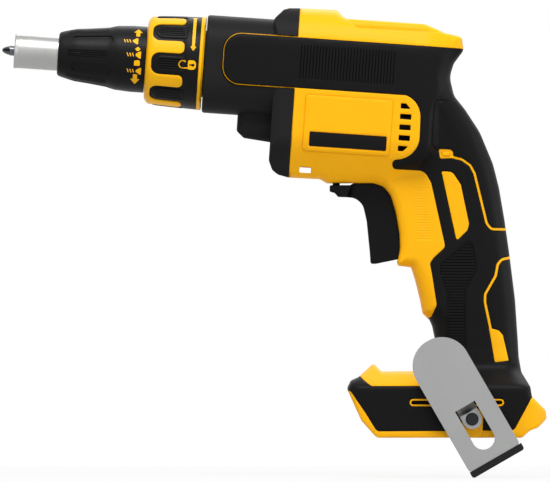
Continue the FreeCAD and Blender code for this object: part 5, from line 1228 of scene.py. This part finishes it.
def selector_cap(name, side):
    """A finger plate on one end of the direction selector, with a rounded outer edge."""
    outline = loop(CAP_SIDE[::-1], step=0.4)
    a, b = outline.T
    turn = math.copysign(1.0, float((a * np.roll(b, -1) - b * np.roll(a, -1)).sum()))
    inward = turn * normals(outline)
    near, far = CAP_FACES
    rings = [(0.0, near)]
    for angle in np.linspace(0.0, math.pi / 2, CAP_RINGS):
        rings.append((CAP_EDGE * (1.0 - math.cos(angle)), far - CAP_EDGE * (1.0 - math.sin(angle))))
    count = len(outline)
    where = np.zeros((len(rings) * count, 3))
    for row, (inset, y) in enumerate(rings):
        where[row * count:(row + 1) * count, ::2] = outline + inward * inset
        where[row * count:(row + 1) * count, 1] = side * y
    faces = ring_faces(len(rings), count)
    last = (len(rings) - 1) * count
    for i, j, k in tessellate_polygon([[Vector((p, q, 0.0)) for p, q in outline]]):
        sense = np.cross(outline[j] - outline[i], outline[k] - outline[i]) * turn
        i, j, k = (i, j, k) if sense > 0 else (i, k, j)
        faces += [(i, k, j), (last + i, last + j, last + k)]
    faces = np.array(faces)
    if side * turn > 0:
        faces = faces[:, ::-1]
    dressed(mesh_piece(name, where, faces), "selector", "trigger_black")


# Materials
def linear(red, green, blue):
    """A colour given as 0-255 screen values, in Blender's linear values."""
    def one(value):
        share = value / 255
        return share / 12.92 if share <= 0.04045 else ((share + 0.055) / 1.055) ** 2.4
    return one(red), one(green), one(blue), 1.0


def shaded(colour, share):
    return tuple(channel * share for channel in colour[:3]) + (1.0,)


def connect(tree, node, inputs):
    """Gives a node's inputs values, or links from other nodes' outputs."""
    for name, value in inputs.items():
        if isinstance(value, bpy.types.NodeSocket):
            tree.links.new(value, node.inputs[name])
        else:
            node.inputs[name].default_value = value


def add_node(tree, kind, inputs, **settings):
    node = tree.nodes.new("ShaderNode" + kind)
    for name, value in settings.items():
        setattr(node, name, value)
    connect(tree, node, inputs)
    return node.outputs


MOTTLE_SCALE = 60.0
MOTTLE_DETAIL = 4.0
GRAIN_DETAIL = 2.0
GRAIN_HEIGHT = 0.0002


def material(name, colour, rough, metallic=0.0, mottle=0.06, grain=0.08, grain_scale=2500.0, stretch=None,
             specular=0.5, rough_spread=0.06):
    """A procedural finish: broad mottling in colour and gloss, and a fine grain as bump."""
    made = bpy.data.materials.new(name)
    made.use_nodes = True
    tree = made.node_tree
    place = add_node(tree, "TexCoord", {})["Object"]
    broad = add_node(tree, "TexNoise", {"Scale": MOTTLE_SCALE, "Detail": MOTTLE_DETAIL,
                                        "Vector": place})["Fac"]
    tint = add_node(tree, "Mix", {"A": shaded(colour, 1.0 - mottle), "B": shaded(colour, 1.0 + mottle),
                                  "Factor": broad}, data_type="RGBA")["Result"]
    if stretch:
        place = add_node(tree, "Mapping", {"Vector": place, "Scale": stretch})["Vector"]
    fine = add_node(tree, "TexNoise", {"Scale": grain_scale, "Detail": GRAIN_DETAIL, "Vector": place})["Fac"]
    gloss = add_node(tree, "MapRange", {"To Min": rough - rough_spread, "To Max": rough + rough_spread,
                                        "Value": fine if stretch else broad})["Result"]
    bump = add_node(tree, "Bump", {"Strength": grain, "Distance": GRAIN_HEIGHT, "Height": fine})["Normal"]
    connect(tree, tree.nodes["Principled BSDF"], {
        "Metallic": metallic, "Specular IOR Level": specular, "Base Color": tint, "Roughness": gloss,
        "Normal": bump})
    return made


# Finishes: screen colour, roughness, and what else differs from a plain finish
FINISH_VALUES = {
    "housing_yellow": ((248, 178, 10), 0.44, dict(mottle=0.03, grain=0.05, specular=0.12)),
    "grip_rubber": ((15, 15, 16), 0.5, dict(grain=0.12, grain_scale=3500.0, specular=0.08)),
    "gear_case_black": ((34, 34, 35), 0.45, dict(grain=0.1, specular=0.03)),
    "nose_black": ((15, 15, 16), 0.42, dict(specular=0.1)),
    "collar_yellow": ((244, 180, 12), 0.4, dict(mottle=0.03, grain=0.04, specular=0.14)),
    "locator_steel": ((166, 166, 164), 0.36, dict(metallic=1.0, mottle=0.1, grain=0.25, grain_scale=700.0,
                                                  stretch=(1.0, 0.08, 0.08), rough_spread=0.1)),
    "bit_steel": ((96, 98, 102), 0.3, dict(metallic=1.0, grain=0.1)),
    "trigger_black": ((13, 13, 14), 0.48, dict(specular=0.08)),
    "hook_steel": ((150, 151, 150), 0.42, dict(metallic=1.0, mottle=0.05, grain=0.16, grain_scale=900.0,
                                               stretch=(1.0, 1.0, 0.06), rough_spread=0.08)),
    "hook_guard": ((24, 24, 25), 0.6, dict(grain=0.12, specular=0.16)),
    "screw_black": ((32, 33, 36), 0.35, dict(metallic=0.7, grain=0.1)),
    "bearing_steel": ((190, 192, 194), 0.25, dict(metallic=1.0, grain=0.05)),
    "gear_steel": ((150, 150, 148), 0.35, dict(metallic=1.0, grain=0.1)),
    "bush_bronze": ((176, 128, 70), 0.4, dict(metallic=1.0, grain=0.1)),
    "motor_iron": ((90, 92, 96), 0.45, dict(metallic=0.9, grain=0.2)),
    "winding_copper": ((184, 100, 52), 0.35, dict(metallic=0.9, grain=0.3)),
    "board_green": ((30, 84, 52), 0.45, dict(grain=0.05)),
    "inner_plastic": ((52, 53, 56), 0.5, {}),
    "plate_aluminium": ((176, 178, 180), 0.4, dict(metallic=1.0, grain=0.2)),
    "contact_brass": ((206, 170, 96), 0.3, dict(metallic=1.0, grain=0.05)),
    "lens_clear": ((232, 236, 236), 0.12, dict(mottle=0.02, grain=0.02)),
    "wire_red": ((176, 34, 30), 0.4, dict(grain=0.04))}
FINISHES = {name: material(name, linear(*colour), rough, **more)
            for name, (colour, rough, more) in FINISH_VALUES.items()}

# Softened edges of the CAD pieces that show: widths, and the angle from which an edge is softened
EDGE_WIDTHS = {"gear_case": 0.6, "trigger": 1.3, "direction_selector": 0.5, "belt_hook": 0.25,
               "hook_lip_guard": 0.5}
EDGE_ANGLE = 40.0
EDGE_SEGMENTS = 3


def dress_frame():
    """Every CAD node takes its record slot's finish; the nodes listed in EDGE_WIDTHS also get softened edges.
    """
    slots = {part["node"]: part["material_slot"] for part in frame["record"]["subparts"]}
    for name, node in frame["nodes"].items():
        node.data.materials.clear()
        node.data.materials.append(FINISHES[slots[name]])
        if name in EDGE_WIDTHS:
            soft = node.modifiers.new("soft_edges", "BEVEL")
            soft.width = EDGE_WIDTHS[name] * MM
            soft.segments = EDGE_SEGMENTS
            soft.limit_method = "ANGLE"
            soft.angle_limit = math.radians(EDGE_ANGLE)
            soft.harden_normals = True


# Stage, in metres: the floor's box and finish, and lights by place, size and power
WHITE = (1.0, 1.0, 1.0, 1.0)
SKY_STRENGTH = 0.36
FLOOR_BOX = (-1.2, 1.0, -1.0, 0.4)
FLOOR_GAP = 0.0005
FLOOR_COLOUR = (0.6, 0.6, 0.6, 1.0)
FLOOR_ROUGHNESS = 0.9
FLOOR_WHITE_SHARE = 0.9
LIGHT_TARGET = (-0.09, 0.0, 0.12)
LIGHTS = {"key": ((-0.2, -0.75, 1.45), (0.9, 0.6), 22.0), "fill": ((0.4, -1.4, 0.4), (1.0, 1.0), 3.0),
          "back": ((0.2, 0.9, 0.9), (1.0, 0.5), 4.0), "side": ((1.1, -0.15, 0.2), (0.6, 0.9), 6.0)}


def light(name, place, size, power):
    lamp = bpy.data.lights.new(name, "AREA")
    lamp.shape = "RECTANGLE"
    lamp.size, lamp.size_y = size
    lamp.energy = power
    holder = bpy.data.objects.new(name, lamp)
    holder.location = place
    holder.rotation_euler = (Vector(LIGHT_TARGET) - Vector(place)).to_track_quat("-Z", "Y").to_euler()
    bpy.context.scene.collection.objects.link(holder)


def white_for_the_camera(tree, surface, output, share):
    """Mixes a surface with plain white for rays that show it as a background."""
    rays = add_node(tree, "LightPath", {})
    shown = rays["Is Camera Ray"]
    for ray in ("Is Transmission Ray", "Is Glossy Ray"):
        shown = add_node(tree, "Math", {0: shown, 1: rays[ray]}, operation="MAXIMUM")["Value"]
    part = add_node(tree, "Math", {0: shown, 1: share}, operation="MULTIPLY")["Value"]
    kind = "Background" if surface.type == "BACKGROUND" else "Emission"
    white = add_node(tree, kind, {"Color": WHITE, "Strength": 1.0})[0]
    mix = add_node(tree, "MixShader", {"Fac": part, 1: surface.outputs[0], 2: white})["Shader"]
    connect(tree, output, {"Surface": mix})


def make_stage():
    """A pale floor under the tool, a white surround and soft light from above and from the camera's side."""
    scene = bpy.context.scene
    scene.view_settings.view_transform = "Standard"
    world = bpy.data.worlds.new("studio")
    world.use_nodes = True
    scene.world = world
    tree = world.node_tree
    connect(tree, tree.nodes["Background"], {"Color": WHITE, "Strength": SKY_STRENGTH})
    white_for_the_camera(tree, tree.nodes["Background"], tree.nodes["World Output"], 1.0)
    mesh = bpy.data.meshes.new("floor")
    mesh.from_pydata(box_corners(*FLOOR_BOX, cad_low.z - FLOOR_GAP), [], [(0, 1, 2, 3)])
    floor = bpy.data.objects.new("floor", mesh)
    scene.collection.objects.link(floor)
    paint = bpy.data.materials.new("floor")
    paint.use_nodes = True
    tree = paint.node_tree
    shader = tree.nodes["Principled BSDF"]
    connect(tree, shader, {"Base Color": FLOOR_COLOUR, "Roughness": FLOOR_ROUGHNESS})
    white_for_the_camera(tree, shader, tree.nodes["Material Output"], FLOOR_WHITE_SHARE)
    mesh.materials.append(paint)
    for name, values in LIGHTS.items():
        light(name, *values)


# Camera: the photograph is 550 pixels wide at 0.565 mm each, seen square on from the hook side
PHOTO_WIDTH = 550
PIXEL = 0.565
CAMERA_DISTANCE = 8.0
SENSOR = 36.0
AIM = (-96.6, 110.7)


def make_camera():
    camera = bpy.data.cameras.new("camera")
    camera.sensor_width = SENSOR
    camera.lens = SENSOR * CAMERA_DISTANCE / (PHOTO_WIDTH * PIXEL * MM)
    holder = bpy.data.objects.new("camera", camera)
    holder.location = (AIM[0] * MM, -CAMERA_DISTANCE, AIM[1] * MM)
    holder.rotation_euler = (math.radians(90.0), 0.0, 0.0)
    bpy.context.scene.collection.objects.link(holder)
    bpy.context.scene.camera = holder


make_cone()
make_collar()
sheet = HousingSheet()
housing_half(sheet, -1, sheet.left_level, sheet.left_back)
housing_half(sheet, 1, sheet.right_level, sheet.right_back)
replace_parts(coil_spring("clutch_coil", CLUTCH_SPRING), "clutch_spring")
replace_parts(coil_spring("trigger_coil", TRIGGER_SPRING), "trigger_spring")
selector_cap("selector_cap_left", -1)
selector_cap("selector_cap_right", 1)
dress_frame()
make_stage()
make_camera()
